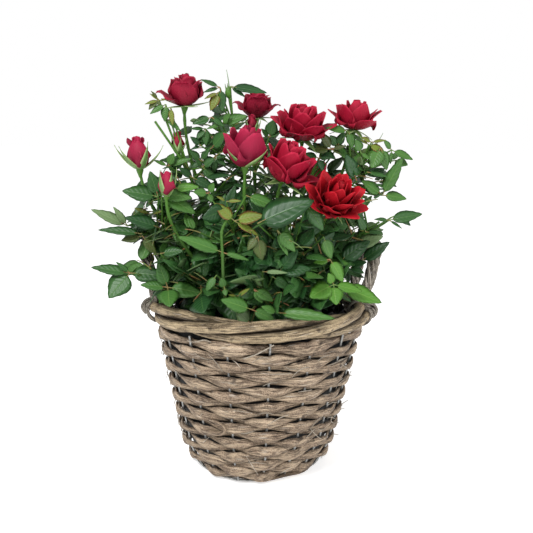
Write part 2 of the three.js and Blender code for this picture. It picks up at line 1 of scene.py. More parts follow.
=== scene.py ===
import json
import math
import random
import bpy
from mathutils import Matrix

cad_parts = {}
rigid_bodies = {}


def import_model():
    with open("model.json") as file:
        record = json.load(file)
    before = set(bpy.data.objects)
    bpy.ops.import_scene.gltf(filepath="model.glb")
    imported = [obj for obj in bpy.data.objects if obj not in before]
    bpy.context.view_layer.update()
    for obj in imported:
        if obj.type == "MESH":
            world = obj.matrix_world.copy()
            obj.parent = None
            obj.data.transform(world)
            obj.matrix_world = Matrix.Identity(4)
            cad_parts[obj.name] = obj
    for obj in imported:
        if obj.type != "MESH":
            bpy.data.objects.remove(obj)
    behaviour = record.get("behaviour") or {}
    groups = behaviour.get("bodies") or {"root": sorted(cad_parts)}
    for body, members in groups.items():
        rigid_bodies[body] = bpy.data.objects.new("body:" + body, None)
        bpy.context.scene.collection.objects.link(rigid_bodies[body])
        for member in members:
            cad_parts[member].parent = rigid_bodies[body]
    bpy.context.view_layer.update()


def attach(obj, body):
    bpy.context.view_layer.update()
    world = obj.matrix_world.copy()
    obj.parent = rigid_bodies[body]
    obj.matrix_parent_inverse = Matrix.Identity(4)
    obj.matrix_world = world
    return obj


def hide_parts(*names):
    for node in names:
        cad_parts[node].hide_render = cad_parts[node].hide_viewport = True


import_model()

from types import SimpleNamespace

import bpy
import numpy as np
from mathutils import Euler, Matrix, Vector
from mathutils.bvhtree import BVHTree

scene = bpy.context.scene
MM = 0.001
TURN = 2 * math.pi
UP = Vector((0, 0, 1))


# ---- Camera ----
# A lens of about 50 mm, held 0.6 m in front of the bush at the height of its flowers and tipped down
# on to it, rolled by one degree.
CAMERA_PLACE = (0.0048, -0.600, 0.2717)
CAMERA_TILT = 0.1814
CAMERA_ROLL = 0.0177


def in_scene(name, data):
    """A new object of the scene."""
    thing = bpy.data.objects.new(name, data)
    scene.collection.objects.link(thing)
    return thing


camera_data = bpy.data.cameras.new("camera")
camera_data.sensor_fit = "HORIZONTAL"
camera_data.sensor_width = 36
camera_data.lens = 51.59
camera_data.clip_start = 0.02
camera = in_scene("camera", camera_data)
camera.location = CAMERA_PLACE
aim = Euler((math.pi / 2 - CAMERA_TILT, 0, 0)).to_matrix() @ Matrix.Rotation(CAMERA_ROLL, 3, "Z")
camera.rotation_euler = aim.to_euler()
scene.camera = camera
scene.view_settings.view_transform = "Standard"


# ---- Studio ----
# A white paper floor under a white tent: light from all round, with one wide soft lamp high on the
# left and a weaker one on the right.
def operator(operation, reflected=False):
    """A method that adds a Math node."""
    def add_node(self, *others):
        return self.math(operation, *((*others, self) if reflected else (self, *others)))
    return add_node


class Socket:
    """One output of a node. Arithmetic on it adds Math nodes to its tree."""

    __add__ = __radd__ = operator("ADD")
    __sub__ = operator("SUBTRACT")
    __rsub__ = operator("SUBTRACT", reflected=True)
    __mul__ = __rmul__ = operator("MULTIPLY")
    __truediv__ = operator("DIVIDE")
    __pow__ = operator("POWER")
    __abs__ = operator("ABSOLUTE")
    sin = operator("SINE")
    cos = operator("COSINE")
    at_least = operator("MAXIMUM")
    at_most = operator("MINIMUM")

    def __init__(self, tree, socket):
        self.tree = tree
        self.socket = socket

    def other(self, name):
        """Another output of the same node."""
        return Socket(self.tree, self.socket.node.outputs[name])

    def math(self, operation, *values):
        return self.tree.add("ShaderNodeMath", {"operation": operation}, dict(enumerate(values)))


class Tree:
    """A node tree of a material or of Geometry Nodes, filled by add()."""

    def __init__(self, tree):
        self.tree = tree

    def add(self, kind, settings=None, inputs=None, output=0):
        """A new node: its settings are set first, then the values or links of its sockets."""
        node = self.tree.nodes.new(kind)
        for name, value in (settings or {}).items():
            if name == "stops":
                self.set_stops(node.color_ramp, value)
            elif name == "captures":
                for item, data_type in value.items():
                    node.capture_items.new(data_type, item)
            else:
                setattr(node, name, value)
        for name, value in (inputs or {}).items():
            if isinstance(value, (Socket, list)):
                for part in value if isinstance(value, list) else [value]:
                    self.tree.links.new(part.socket, node.inputs[name])
            else:
                node.inputs[name].default_value = value
        return Socket(self, node.outputs[output])

    @staticmethod
    def set_stops(ramp, stops):
        while len(ramp.elements) < len(stops):
            ramp.elements.new(1)
        for element, (place, colour) in zip(ramp.elements, stops):
            element.position = place
            element.color = (*colour, 1)

    def vector(self, x, y, z):
        return self.add("ShaderNodeCombineXYZ", {}, {0: x, 1: y, 2: z})

    def split(self, vector):
        parts = self.add("ShaderNodeSeparateXYZ", {}, {0: vector})
        return parts, parts.other("Y"), parts.other("Z")

    def noise(self, vector, scale, detail=3, roughness=0.5):
        return self.add("ShaderNodeTexNoise", {}, {
            "Vector": vector, "Scale": scale, "Detail": detail, "Roughness": roughness})


def colour(*screen):
    """A colour given by its 0 to 255 screen values, as the linear light that shaders take."""
    return tuple(((c / 255 + 0.055) / 1.055) ** 2.4 if c > 10 else c / 255 / 12.92 for c in screen)


class Finish(Tree):
    """A material with a Principled shader, whose constants surface() sets."""

    def __init__(self, name):
        self.material = bpy.data.materials.new(name)
        self.material.use_nodes = True
        super().__init__(self.material.node_tree)
        self.shader = self.tree.nodes["Principled BSDF"]

    def place(self):
        return self.add("ShaderNodeTexCoord", output="Object")

    def clouds(self, *how):
        return self.noise(self.place(), *how)

    def stretched(self, vector, *factors):
        return self.add("ShaderNodeVectorMath", {"operation": "MULTIPLY"}, {0: vector, 1: factors})

    def attribute(self, name):
        return self.add("ShaderNodeAttribute", {"attribute_name": name}, output="Fac")

    def ramp(self, factor, *stops):
        return self.add("ShaderNodeValToRGB", {"stops": stops}, {"Fac": factor})

    def mix(self, factor, *colours):
        first, second = (c if isinstance(c, Socket) else (*c, 1) for c in colours)
        return self.add("ShaderNodeMix", {"data_type": "RGBA"}, {0: factor, 6: first, 7: second}, output=2)

    def bump(self, height, strength, distance):
        return self.add("ShaderNodeBump", {}, {"Height": height, "Strength": strength, "Distance": distance})

    def surface(self, **values):
        """Sets or links the shader's sockets, an underscore in a name standing for a space."""
        for name, value in values.items():
            socket = self.shader.inputs[name.replace("_", " ")]
            if isinstance(value, Socket):
                self.tree.links.new(value.socket, socket)
            else:
                socket.default_value = value
        return self.material


TENT_LIGHT = 0.62
PAPER_GLOW = 0.52
FLOOR_REACH = 8.0
floor_mesh = bpy.data.meshes.new("floor")
floor_corners = [(x * FLOOR_REACH, y * FLOOR_REACH, 0) for x, y in ((-1, -1), (1, -1), (1, 1), (-1, 1))]
floor_mesh.from_pydata(floor_corners, [], [(0, 1, 2, 3)])
floor = in_scene("floor", floor_mesh)
paper = Finish("white_paper")
paper_tone = paper.ramp(paper.clouds(40, 2), (0.3, (0.88,) * 3), (0.7, (0.9,) * 3))
floor_mesh.materials.append(paper.surface(
    Base_Color=paper_tone, Roughness=0.9, Emission_Color=(1, 1, 1, 1), Emission_Strength=PAPER_GLOW))

tent = bpy.data.worlds.new("tent")
tent.use_nodes = True
tent_nodes = Tree(tent.node_tree)
tent_strength = tent_nodes.add("ShaderNodeLightPath") * (1 - TENT_LIGHT) + TENT_LIGHT
tent_sky = tent.node_tree.nodes["Background"]
tent_sky.inputs["Color"].default_value = (1, 1, 1, 1)
tent.node_tree.links.new(tent_strength.socket, tent_sky.inputs["Strength"])
scene.world = tent


def soft_lamp(name, place, aimed_at, size, watts):
    lamp_data = bpy.data.lights.new(name, "AREA")
    lamp_data.size = size
    lamp_data.energy = watts
    lamp = in_scene(name, lamp_data)
    lamp.location = place
    lamp.rotation_euler = (Vector(aimed_at) - Vector(place)).to_track_quat("-Z", "Y").to_euler()


soft_lamp("key_lamp", (-0.45, -0.7, 1.0), (0, 0, 0.15), 0.45, 11)
soft_lamp("fill_lamp", (0.8, -0.6, 0.5), (0, 0, 0.15), 0.6, 4)


# ---- Wire frame of the basket ----
# Sixteen straight stakes of galvanised wire, welded to a ring at the foot, that the willow is woven
# round. They lean out with the wall and turn in at the corner of the foot, which is worn in two places.
STAKES = 16
STAKE_TURN = math.radians(6.1)
STAKE_RADIUS = 0.9 * MM
STAKE_BOTTOM = 2 * MM
STAKE_TOP = 120.9 * MM
FOOT_RADIUS = 54.8
WALL_RADIUS = 80
WALL_HEIGHT = 120
WALL_LEAN = (WALL_RADIUS - FOOT_RADIUS) / WALL_HEIGHT
CORNER_HEIGHT = 9.67
CORNER_DEPTH = 3.5
CORNER_WORN = ((-0.95, 2.2), (-2.44, 0.9))


class Pattern(Tree):
    """A Geometry Nodes tree with named inputs, which make() runs and turns into a plain mesh."""

    KINDS = {float: "NodeSocketFloat", int: "NodeSocketInt", bpy.types.Collection: "NodeSocketCollection",
             bpy.types.Material: "NodeSocketMaterial"}

    def __init__(self, name, **inputs):
        super().__init__(bpy.data.node_groups.new(name, "GeometryNodeTree"))
        sockets = self.tree.interface
        sockets.new_socket("Geometry", in_out="OUTPUT", socket_type="NodeSocketGeometry")
        sockets.new_socket("Geometry", in_out="INPUT", socket_type="NodeSocketGeometry")
        self.keys = {}
        for key, kind in inputs.items():
            socket = sockets.new_socket(key, in_out="INPUT", socket_type=self.KINDS[kind])
            self.keys[key] = socket.identifier
        self.inputs = self.tree.nodes.new("NodeGroupInput")
        self.outputs = self.tree.nodes.new("NodeGroupOutput")

    def given(self, key="Geometry"):
        return Socket(self, self.inputs.outputs[key])

    def sweep(self, path, profile, scale=1.0):
        return self.add("GeometryNodeCurveToMesh", {},
                        {"Curve": path, "Profile Curve": profile, "Scale": scale, "Fill Caps": True})

    def circle(self, sides, radius=1.0):
        return self.add("GeometryNodeCurvePrimitiveCircle", {}, {"Resolution": sides, "Radius": radius})

    def here(self):
        """The three coordinates of each point."""
        return self.split(self.add("GeometryNodeInputPosition"))

    def kept(self, geometry, *values):
        """Keeps values on the points: the geometry, then each value as it stays when the shape changes."""
        names = [f"value_{i}" for i in range(len(values))]
        inputs = {"Geometry": geometry, **dict(enumerate(values, 1))}
        node = self.add("GeometryNodeCaptureAttribute", {"captures": dict.fromkeys(names, "FLOAT")}, inputs)
        return node, *map(node.other, names)

    def profile(self, sides):
        """A unit circle to sweep along a path, and the two coordinates of its points."""
        circle = self.circle(sides)
        x, y, _ = self.here()
        return self.kept(circle, x, y)

    def turned(self, angle, radius, height):
        return self.vector(angle.cos() * radius, angle.sin() * radius, height)

    def as_path(self, mesh):
        return self.add("GeometryNodeMeshToCurve", {}, {"Mesh": mesh})

    def given_path(self):
        """The given lines as paths, which keep the length from their start."""
        return self.kept(self.as_path(self.given()), self.add("GeometryNodeSplineParameter").other("Length"))

    def joined(self, *parts):
        return self.add("GeometryNodeJoinGeometry", {}, {"Geometry": list(parts)})

    def rings(self, count, step, sides):
        """Rings of unit radius, a step apart, and the number of each."""
        line = self.add("GeometryNodeMeshLine", {"mode": "OFFSET"}, {"Count": count, "Offset": step})
        line, number = self.kept(line, self.add("GeometryNodeInputIndex"))
        ring = self.add("GeometryNodeMeshCircle", {}, {"Vertices": sides, "Radius": 1.0})
        rings = self.add("GeometryNodeInstanceOnPoints", {}, {"Points": line, "Instance": ring})
        return self.add("GeometryNodeRealizeInstances", {}, {"Geometry": rings}), number

    def placed(self, geometry, position):
        return self.add("GeometryNodeSetPosition", {}, {"Geometry": geometry, "Position": position})

    def pushed(self, geometry, offset):
        return self.add("GeometryNodeSetPosition", {}, {"Geometry": geometry, "Offset": offset})

    def swollen(self, geometry, height):
        """Moves the surface outwards by a height."""
        return self.pushed(geometry, self.scaled(self.add("GeometryNodeInputNormal"), height))

    def named(self, name, kind="FLOAT"):
        return self.add("GeometryNodeInputNamedAttribute", {"data_type": kind}, {"Name": name})

    def stored(self, geometry, **values):
        for name, value in values.items():
            geometry = self.add("GeometryNodeStoreNamedAttribute", {"data_type": "FLOAT"},
                                {"Geometry": geometry, "Name": name, "Value": value})
        return geometry

    def scaled(self, vector, factor):
        return self.add("ShaderNodeVectorMath", {"operation": "SCALE"}, {0: vector, "Scale": factor})

    def summed(self, *vectors):
        total = vectors[0]
        for vector in vectors[1:]:
            total = self.add("ShaderNodeVectorMath", {}, {0: total, 1: vector})
        return total

    def finish(self, geometry, material):
        smooth = self.add("GeometryNodeSetShadeSmooth", {}, {"Geometry": geometry})
        real = self.add("GeometryNodeRealizeInstances", {}, {"Geometry": smooth})
        painted = self.add("GeometryNodeSetMaterial", {}, {"Geometry": real, "Material": material})
        self.tree.links.new(painted.socket, self.outputs.inputs[0])

    def make(self, name, slot, nodes=(), mesh=None, **values):
        """The pattern with these inputs, on a mesh or on none: a finished piece, if it has a slot."""
        piece = in_scene(name, mesh or bpy.data.meshes.new(name))
        modifier = piece.modifiers.new("pattern", "NODES")
        modifier.node_group = self.tree
        for key, value in values.items():
            modifier[self.keys[key]] = value
        bpy.context.view_layer.update()
        shown = piece.evaluated_get(bpy.context.evaluated_depsgraph_get())
        made = bpy.data.meshes.new_from_object(shown)
        piece.modifiers.remove(modifier)
        piece.data = made
        made.name = name
        return part_of_plant(piece, slot, nodes) if slot else piece


def part_of_plant(piece, slot, nodes=()):
    """The last step of every piece: what carries it, and what it replaces. Its slot is not used."""
    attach(piece, "root")
    if nodes:
        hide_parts(*nodes)
    return piece


def wall_radius(level, angle):
    """The radius of the ring of stakes at a height and an angle, as a socket."""
    uneven = sum(((angle - turn).cos().at_least(0) ** 4 * share for turn, share in CORNER_WORN), 0.0)
    corner = (1 - level / ((uneven * 1.3 + 1) * (CORNER_HEIGHT * MM))).at_least(0)
    return level * WALL_LEAN + FOOT_RADIUS * MM - corner * (uneven * 1.1 + 1) * (CORNER_DEPTH * MM)


def turn_of(x, y):
    return y.math("ARCTAN2", y, x)


zinc = Finish("galvanised_wire")
zinc_spangle = zinc.clouds(420, 4, 0.6)
zinc_wire = zinc.surface(
    Base_Color=zinc.ramp(zinc_spangle, (0.3, colour(96, 96, 94)), (0.62, colour(168, 168, 165))),
    Metallic=0.75,
    Roughness=zinc_spangle * 0.25 + 0.33,
    Normal=zinc.bump(zinc_spangle, 0.35, 0.0003))

stakes = Pattern("stakes", Stakes=int, Radius=float)
ring_points = stakes.add("GeometryNodeMeshCircle", {}, {"Vertices": stakes.given("Stakes"), "Radius": 0.0})
stake = stakes.add("GeometryNodeMeshLine", {"mode": "END_POINTS"}, {
    "Count": 26, "Start Location": (FOOT_RADIUS * MM, 0, STAKE_BOTTOM),
    "Offset": (FOOT_RADIUS * MM, 0, STAKE_TOP)})
stake_turn = stakes.add("GeometryNodeInputIndex") * (TURN / STAKES) + STAKE_TURN
stake_set = stakes.add("GeometryNodeInstanceOnPoints", {}, {
    "Points": ring_points, "Instance": stake, "Rotation": stakes.vector(0, 0, stake_turn)})
stake_set = stakes.add("GeometryNodeRealizeInstances", {}, {"Geometry": stake_set})
stake_x, stake_y, stake_z = stakes.here()
stake_angle = turn_of(stake_x, stake_y)
stake_level = stake_z.at_least(STAKE_BOTTOM)
stake_place = stakes.turned(stake_angle, wall_radius(stake_level, stake_angle), stake_level)
wires = [stakes.sweep(path, stakes.circle(8, stakes.given("Radius"))) for path in (
    stakes.as_path(stakes.placed(stake_set, stake_place)), stakes.placed(stakes.circle(96), stake_place))]
stakes.finish(stakes.joined(*wires), zinc_wire)
stakes.make("wire_stakes", "wire", ["wire_frame"], Stakes=STAKES, Radius=STAKE_RADIUS)


# ---- Woven wall ----
# Eighteen rows of split willow, flat on the inside and round on the outside, that pass in front of one
# stake and behind the next. Each strip spreads where it crosses in front and pinches behind.
ROWS = 18
FIRST_ROW = 6.5 * MM
ROW_PITCH = 6.34 * MM
STATIONS = 8
STRIP_SIDES = 12


def willow_finish(name, *screen_tones, contrast, edge=0.0):
    """Split willow gone grey: long grain, cracks and pale torn fibres along the strip, darker at its edges,
    partly from bark and partly as painted shade of the rounded edge. The border rods also carry painted shade
    between them.
    """
    light, middle, dark = (colour(*tone) for tone in screen_tones)
    finish = Finish(name)
    across = finish.attribute("across")
    place = finish.vector(finish.attribute("along") * 90, across * 1.7, finish.attribute("strip"))
    grain = finish.noise(place, 1.0, 4, 0.62) - 0.5
    fine = finish.noise(finish.stretched(place, 2.0, 2.7, 2.7), 1.0, 4, 0.7) - 0.5
    patch = finish.noise(finish.stretched(place, 0.35, 0.2, 0.9), 1.0, 2) - 0.5
    split = finish.noise(finish.stretched(place, 0.5, 1.9, 1.7), 1.0, 2) - 0.5
    torn = finish.noise(finish.stretched(place, 0.9, 2.3, 2.3), 1.0, 3) - 0.62
    speck = finish.clouds(1300, 2, 0.6) - 0.5
    tone = finish.ramp((grain * 1.25 + fine + patch * 0.8 + speck * 1.1) * contrast + 0.5,
                       (0.2, dark), (0.42, middle), (0.62, light), (0.85, tuple(c * 1.3 for c in light)))
    crack = (1 - abs(split) * 26).at_least(0)
    # Darker towards the rounded edges of the strip: partly the bark, partly painted shade.
    rim = (abs(across) - 0.55).at_least(0) * edge
    knot = (finish.clouds(130, 1) - 0.65).at_least(0) * 8
    # Cracks and knots are the willow's own; the mark read from the border rods adds painted shade between
    # them.
    shade = (crack * 0.7 + rim + knot + finish.attribute("crease")).at_most(0.9)
    base = finish.mix(shade, tone, tuple(c * 0.4 for c in dark))
    base = finish.mix((torn * 5).at_least(0).at_most(0.6), base, colour(206, 196, 182))
    return finish.surface(
        Base_Color=base,
        Roughness=fine * 0.4 + 0.6,
        Specular_IOR_Level=0.3,
        Normal=finish.bump(grain * 0.8 + fine * 0.7 - crack * 0.6, 0.9, 0.0011))


willow_strip = willow_finish("weathered_willow", (172, 152, 128), (138, 118, 98), (84, 68, 54),
                             contrast=0.88, edge=0.85)

# Where the wall is woven loosely, and the black film shows in the gaps.
LOOSE_TURNS = (-2.62, -0.5)
weave = Pattern("weave", Rows=int, Stakes=int, Stations=int, Pitch=float, Swing=float, Width=float,
                Lens=float, Pinch=float, Thickness=float, Seed=float)
row_rings, row = weave.rings(weave.given("Rows"), weave.vector(0, 0, weave.given("Pitch")),
                             weave.given("Stakes") * weave.given("Stations"))
ring_x, ring_y, _ = weave.here()
angle = turn_of(ring_x, ring_y)
ring_place = weave.vector(ring_x, ring_y, row * 3.7 + weave.given("Seed"))
side = ((angle - STAKE_TURN) * (STAKES / 2) + row * math.pi).cos()
waver = weave.noise(ring_place, 2.3, 2) - 0.5
shiver = weave.noise(ring_place, 9.0, 2) - 0.5
top_row = (row - weave.given("Rows") + 2).at_least(0)
level = row * weave.given("Pitch") + FIRST_ROW + waver * (2.8 * MM) + shiver * (1.8 * MM)
level = level + top_row * (1.5 * MM)
out = side * weave.given("Swing")
in_front = side.at_least(0) ** 0.8
behind = (side * -1).at_least(0)
half_width = (weave.given("Width") + in_front * weave.given("Lens") - behind * weave.given("Pinch")) * 0.5
loose = ((angle - LOOSE_TURNS[0]).cos().at_least(0) ** 36 * 0.42
         + (angle - LOOSE_TURNS[1]).cos().at_least(0) ** 36 * 0.36)
half_width = half_width * (shiver * 0.7 + waver * 0.4 + 1 - loose) + top_row * (1.3 * MM)
rows, row, angle, level, out, half_width, tilt = weave.kept(
    row_rings, row, angle, level, out, half_width, waver * 0.9 + shiver * 0.7)
profile, px, py = weave.profile(STRIP_SIDES)
strips = weave.sweep(weave.as_path(rows), profile, MM)
strip_out = px * weave.given("Thickness") * 0.5 * (px * 0.22 + 1)
strip_up = py * half_width
strip_radius = wall_radius(level, angle) + out + strip_out * tilt.cos()
strip_radius = strip_radius + strip_up * WALL_LEAN * 0.8 - strip_up * tilt.sin() * 0.6
strip_level = level + strip_up * tilt.cos() + strip_out * tilt.sin()
strips = weave.placed(strips, weave.turned(angle, strip_radius, strip_level))
strips = weave.stored(strips, along=angle * 0.07, across=py, strip=row * 7.3)
weave.finish(weave.add("GeometryNodeFlipFaces", {}, {"Mesh": strips}), willow_strip)
weave.make("woven_wall", "weave_willow", [f"weave_row_{n + 1:02d}" for n in range(ROWS)],
           Rows=ROWS, Stakes=STAKES, Stations=STATIONS, Pitch=ROW_PITCH, Swing=2.2 * MM, Width=5.6 * MM,
           Lens=3.7 * MM, Pinch=1.9 * MM, Thickness=2.4 * MM, Seed=4.0)


# ---- Woven base ----
# A flat round mat of the same split willow, woven in rings over and under the ends of its ribs, which
# the basket stands on.
MAT_RINGS = 8
MAT_MIDDLE = 2.3 * MM
mat = Pattern("mat", Rings=int, Stations=int, Pitch=float, First=float, Swing=float, Width=float,
              Thickness=float)
mat_rings, mat_row = mat.rings(mat.given("Rings"), (0, 0, 1), mat.given("Stations"))
mat_x, mat_y, _ = mat.here()
mat_angle = turn_of(mat_x, mat_y)
mat_side = ((mat_angle - STAKE_TURN) * (STAKES / 2) + mat_row * math.pi).cos()
mat_rings, mat_row, mat_angle, mat_side = mat.kept(mat_rings, mat_row, mat_angle, mat_side)
profile, px, py = mat.profile(8)
mat_strips = mat.sweep(mat.as_path(mat_rings), profile, MM)
mat_radius = mat_row * mat.given("Pitch") + mat.given("First") + px * mat.given("Width") * 0.5
mat_level = mat_side * mat.given("Swing") + py * mat.given("Thickness") * 0.5 + MAT_MIDDLE
mat_strips = mat.placed(mat_strips, mat.turned(mat_angle, mat_radius, mat_level))
mat_strips = mat.stored(mat_strips, along=mat_angle * 0.04, across=px, strip=mat_row * 7.3 + 200)
mat.finish(mat.add("GeometryNodeFlipFaces", {}, {"Mesh": mat_strips}), willow_strip)
mat.make("woven_base", "weave_willow", ["base_mat"], Rings=MAT_RINGS, Stations=STAKES * 4, Pitch=5.9 * MM,
         First=4.2 * MM, Swing=0.8 * MM, Width=6.6 * MM, Thickness=1.8 * MM)


# ---- Rolled border ----
# Three thick peeled rods that roll round each other along the top of the wall and hold the ends of the
# stakes. They are paler and yellower than the wall, with knots and long splits.
BORDER_HEIGHT = 129.9 * MM
BORDER_RADIUS = 80.5 * MM
BORDER_RODS = 3
BORDER_TWISTS = 2
ROD_RADIUS = 3.8 * MM
ROD_ORBIT = 4.9 * MM
# How far from the middle of the border the painted shade between the rods reaches, and how deep it gets.
CREVICE_SHADE_REACH = 6.3 * MM
CREVICE_SHADE_DEPTH = 2.2 * MM

border_willow = willow_finish("peeled_rod", (172, 153, 122), (140, 122, 96), (80, 65, 48), contrast=0.75)

border = Pattern("border", Stations=int, Radius=float, Height=float, Orbit=float, Rod=float, Twists=float)
rods = []
for rod in range(BORDER_RODS):
    rod_path = border.circle(border.given("Stations"))
    rod_x, rod_y, _ = border.here()
    rod_angle = turn_of(rod_x, rod_y)
    orbit = rod_angle * border.given("Twists") + rod * TURN / BORDER_RODS
    sway = border.noise(border.vector(rod_x, rod_y, rod * 5.0), 3.0, 2) - 0.5
    rod_reach = border.given("Orbit") * orbit.cos() + border.given("Radius") + sway * (1.6 * MM)
    rod_level = border.given("Orbit") * orbit.sin() + border.given("Height") + sway * (1.2 * MM)
    rod_path = border.placed(rod_path, border.turned(rod_angle, rod_reach, rod_level))
    girth = border.noise(border.vector(rod_x, rod_y, rod * 9.0), 5.0, 2) * 0.3 + 0.85
    rod_path, rod_angle = border.kept(rod_path, rod_angle)
    profile, px, py = border.profile(14)
    rod_mesh = border.sweep(rod_path, profile, girth * border.given("Rod"))
    rod_place = border.vector(rod_angle * 4.0, px * 1.5, py * 1.5 + rod * 7.0)
    rod_mesh = border.swollen(rod_mesh, (border.noise(rod_place, 1.6, 3) - 0.5) * (2.2 * MM))
    # Painted shade: each rod is darker towards the middle of the border, where the rods lie against each
    # other.
    seen_x, seen_y, seen_z = border.here()
    beside = (seen_x * seen_x + seen_y * seen_y) ** 0.5 - border.given("Radius")
    above = seen_z - border.given("Height")
    crease = (beside * beside + above * above) ** 0.5 * -1 + CREVICE_SHADE_REACH
    crease = crease.at_least(0) * (1 / CREVICE_SHADE_DEPTH)
    rods.append(border.stored(rod_mesh, along=rod_angle * 0.08, across=px, strip=py * 1.7 + rod * 9.0,
                              crease=crease))
border.finish(border.joined(*rods), border_willow)
rolled_border = border.make(
    "rolled_border", "border_willow", [f"border_rod_{n + 1}" for n in range(BORDER_RODS)],
    Stations=220, Radius=BORDER_RADIUS, Height=BORDER_HEIGHT, Orbit=ROD_ORBIT, Rod=ROD_RADIUS,
    Twists=float(BORDER_TWISTS))


# ---- Handles ----
# A handle on each side, of thin willow rods twisted together. Both its ends run down the outside of the
# border, where a willow band and a few turns of wire tie them.
HANDLE_FEET = (math.radians(-13), math.radians(20))
HANDLE_TOP = 181
HANDLE_FOOT_RADIUS = 84
HANDLE_LEAN = 7.5
HANDLE_FOOT = 138.9
HANDLE_STRANDS = 6
LASHING_REACH, LASHING_TURNS, LASHING_STEPS = 9.3, 2.5, 20
TAIL_REACH = 10.4
TAIL_TURNS = (-18, 3, 24)

handle_willow = willow_finish("twisted_willow", (168, 160, 148), (130, 122, 110), (66, 58, 50), contrast=1.0)


def polar(radius, angle, height):
    return Vector((radius * math.cos(angle), radius * math.sin(angle), height))


def smooth_path(points, steps):
    """A Catmull-Rom line through points, with so many steps between each two."""
    ends = [points[0] * 2 - points[1], *points, points[-1] * 2 - points[-2]]
    line = []
    for before, start, end, after in zip(ends, ends[1:], ends[2:], ends[3:]):
        for step in range(steps):
            t = step / steps
            line.append(0.5 * (2 * start + (end - before) * t
                               + (2 * before - 5 * start + 4 * end - after) * t ** 2
                               + (3 * start - before - 3 * end + after) * t ** 3))
    return [*line, points[-1]]


def mark(mesh, name, values, kind="FLOAT", domain="POINT"):
    """Keeps values on a mesh under a name that Patterns and Finishes read."""
    field = "vector" if kind == "FLOAT_VECTOR" else "value"
    mesh.attributes.new(name, kind, domain).data.foreach_set(field, values)


def path_mesh(paths):
    """Lines as a mesh of edges, in mm: each path is its points, its girth at each and its own number."""
    mesh = bpy.data.meshes.new("paths")
    points, edges, girths, numbers = [], [], [], []
    for line, girth, number in paths:
        edges += [(len(points) + i, len(points) + i + 1) for i in range(len(line) - 1)]
        points += [tuple(p * MM) for p in line]
        girths += [g * MM for g in girth]
        numbers += [number] * len(line)
    mesh.from_pydata(points, edges, [])
    mark(mesh, "girth", girths)
    mark(mesh, "strip", numbers)
    return mesh


def around_border(turn, reach, angle):
    """A point beside the middle of the border, in mm, at a turn round it and an angle along it."""
    return polar(BORDER_RADIUS / MM + reach * math.cos(turn), angle,
                 BORDER_HEIGHT / MM + reach * math.sin(turn))


def handle_line(side):
    """The middle line of a handle, from its front end under the border over the arch to its back end."""
    front, back = (side + angle * math.cos(side) for angle in HANDLE_FEET)
    middle = (front + back) / 2
    rise = HANDLE_TOP - HANDLE_FOOT

    def leg(angle):
        tail = [around_border(math.radians(turn), TAIL_REACH, angle) for turn in TAIL_TURNS]
        lean = [(0.0, 0.0, 0.0), (0.35, 0.0, 0.4), (0.85, 0.3, 0.84)]
        upright = [polar(HANDLE_FOOT_RADIUS + out * HANDLE_LEAN, angle * (1 - share) + middle * share,
                         HANDLE_FOOT + up * rise) for out, share, up in lean]
        return tail + upright

    return [*leg(front), polar(HANDLE_FOOT_RADIUS + HANDLE_LEAN, middle, HANDLE_TOP), *reversed(leg(back))]


rope = Pattern("rope", Turns=float, Orbit=float, Rod=float)
rope_path = rope.as_path(rope.given())
rope_share = rope.add("GeometryNodeSplineParameter")
rope_normal = rope.add("GeometryNodeInputNormal")
rope_across = rope.add("ShaderNodeVectorMath", {"operation": "CROSS_PRODUCT"},
                       {0: rope_normal, 1: rope.add("GeometryNodeInputTangent")})
strands = []
for strand in range(HANDLE_STRANDS):
    strand_turn = rope_share * rope.given("Turns") * TURN + strand * TURN / HANDLE_STRANDS
    strand_sway = rope.noise(rope.add("GeometryNodeInputPosition"), 60.0 + strand * 9, 2) * 1.4 + 0.2
    strand_out = rope.given("Orbit") * strand_sway * (rope.named("girth") * (1 / MM)) ** 2
    strand_path = rope.pushed(rope_path, rope.summed(
        rope.scaled(rope_normal, strand_turn.cos() * strand_out),
        rope.scaled(rope_across, strand_turn.sin() * strand_out)))
    strand_path, length = rope.kept(strand_path, rope_share.other("Length"))
    profile, px, py = rope.profile(8)
    strand_girth = rope.named("girth") * (1.15 - 0.09 * strand) * rope.given("Rod")
    strand_mesh = rope.sweep(strand_path, profile, strand_girth)
    strand_place = rope.vector(length * 90, px * 0.9, py * 0.9 + strand * 4.0)
    strand_mesh = rope.swollen(strand_mesh, (rope.noise(strand_place, 2.0, 3) - 0.5) * (1.3 * MM))
    strands.append(rope.stored(strand_mesh, along=length, across=px * 0.9,
                               strip=py * 0.9 + rope.named("strip") + strand * 9.0))
rope.finish(rope.joined(*strands), handle_willow)

band = Pattern("band", Finish=bpy.types.Material)
band_path, length = band.given_path()
profile, px, py = band.profile(8)
band_mesh = band.sweep(band_path, profile, band.named("girth"))
band_mesh = band.stored(band_mesh, along=length, across=px * 0.9, strip=py * 0.9 + band.named("strip"))
band.finish(band_mesh, band.given("Finish"))

for side_name, side_angle in (("right", 0.0), ("left", math.pi)):
    line = smooth_path(handle_line(side_angle), 12)
    middle_of = (len(line) - 1) / 2
    girth = [1 - 0.42 * (abs(i - middle_of) / middle_of) ** 7 for i in range(len(line))]
    rope.make(f"rope_handle_{side_name}", "handle_willow", [f"handle_{side_name}"],
              path_mesh([(line, girth, side_angle)]), Turns=2.8, Orbit=3.3 * MM, Rod=1.5)
    loops = []
    for foot in HANDLE_FEET:
        foot_angle = side_angle + foot * math.cos(side_angle)
        turns = [i / LASHING_STEPS for i in range(int(LASHING_TURNS * LASHING_STEPS) + 1)]
        coil = [around_border(t * TURN - 2.4, LASHING_REACH + 0.25 * math.sin(9 * t),
                              foot_angle + (t - 1.2) * 0.034) for t in turns]
        loops.append((coil, [1.15 + 0.2 * math.sin(3 * t) for t in turns], foot))
    band.make(f"lashing_{side_name}", "handle_willow", [f"handle_{side_name}"], path_mesh(loops),
              Finish=handle_willow)


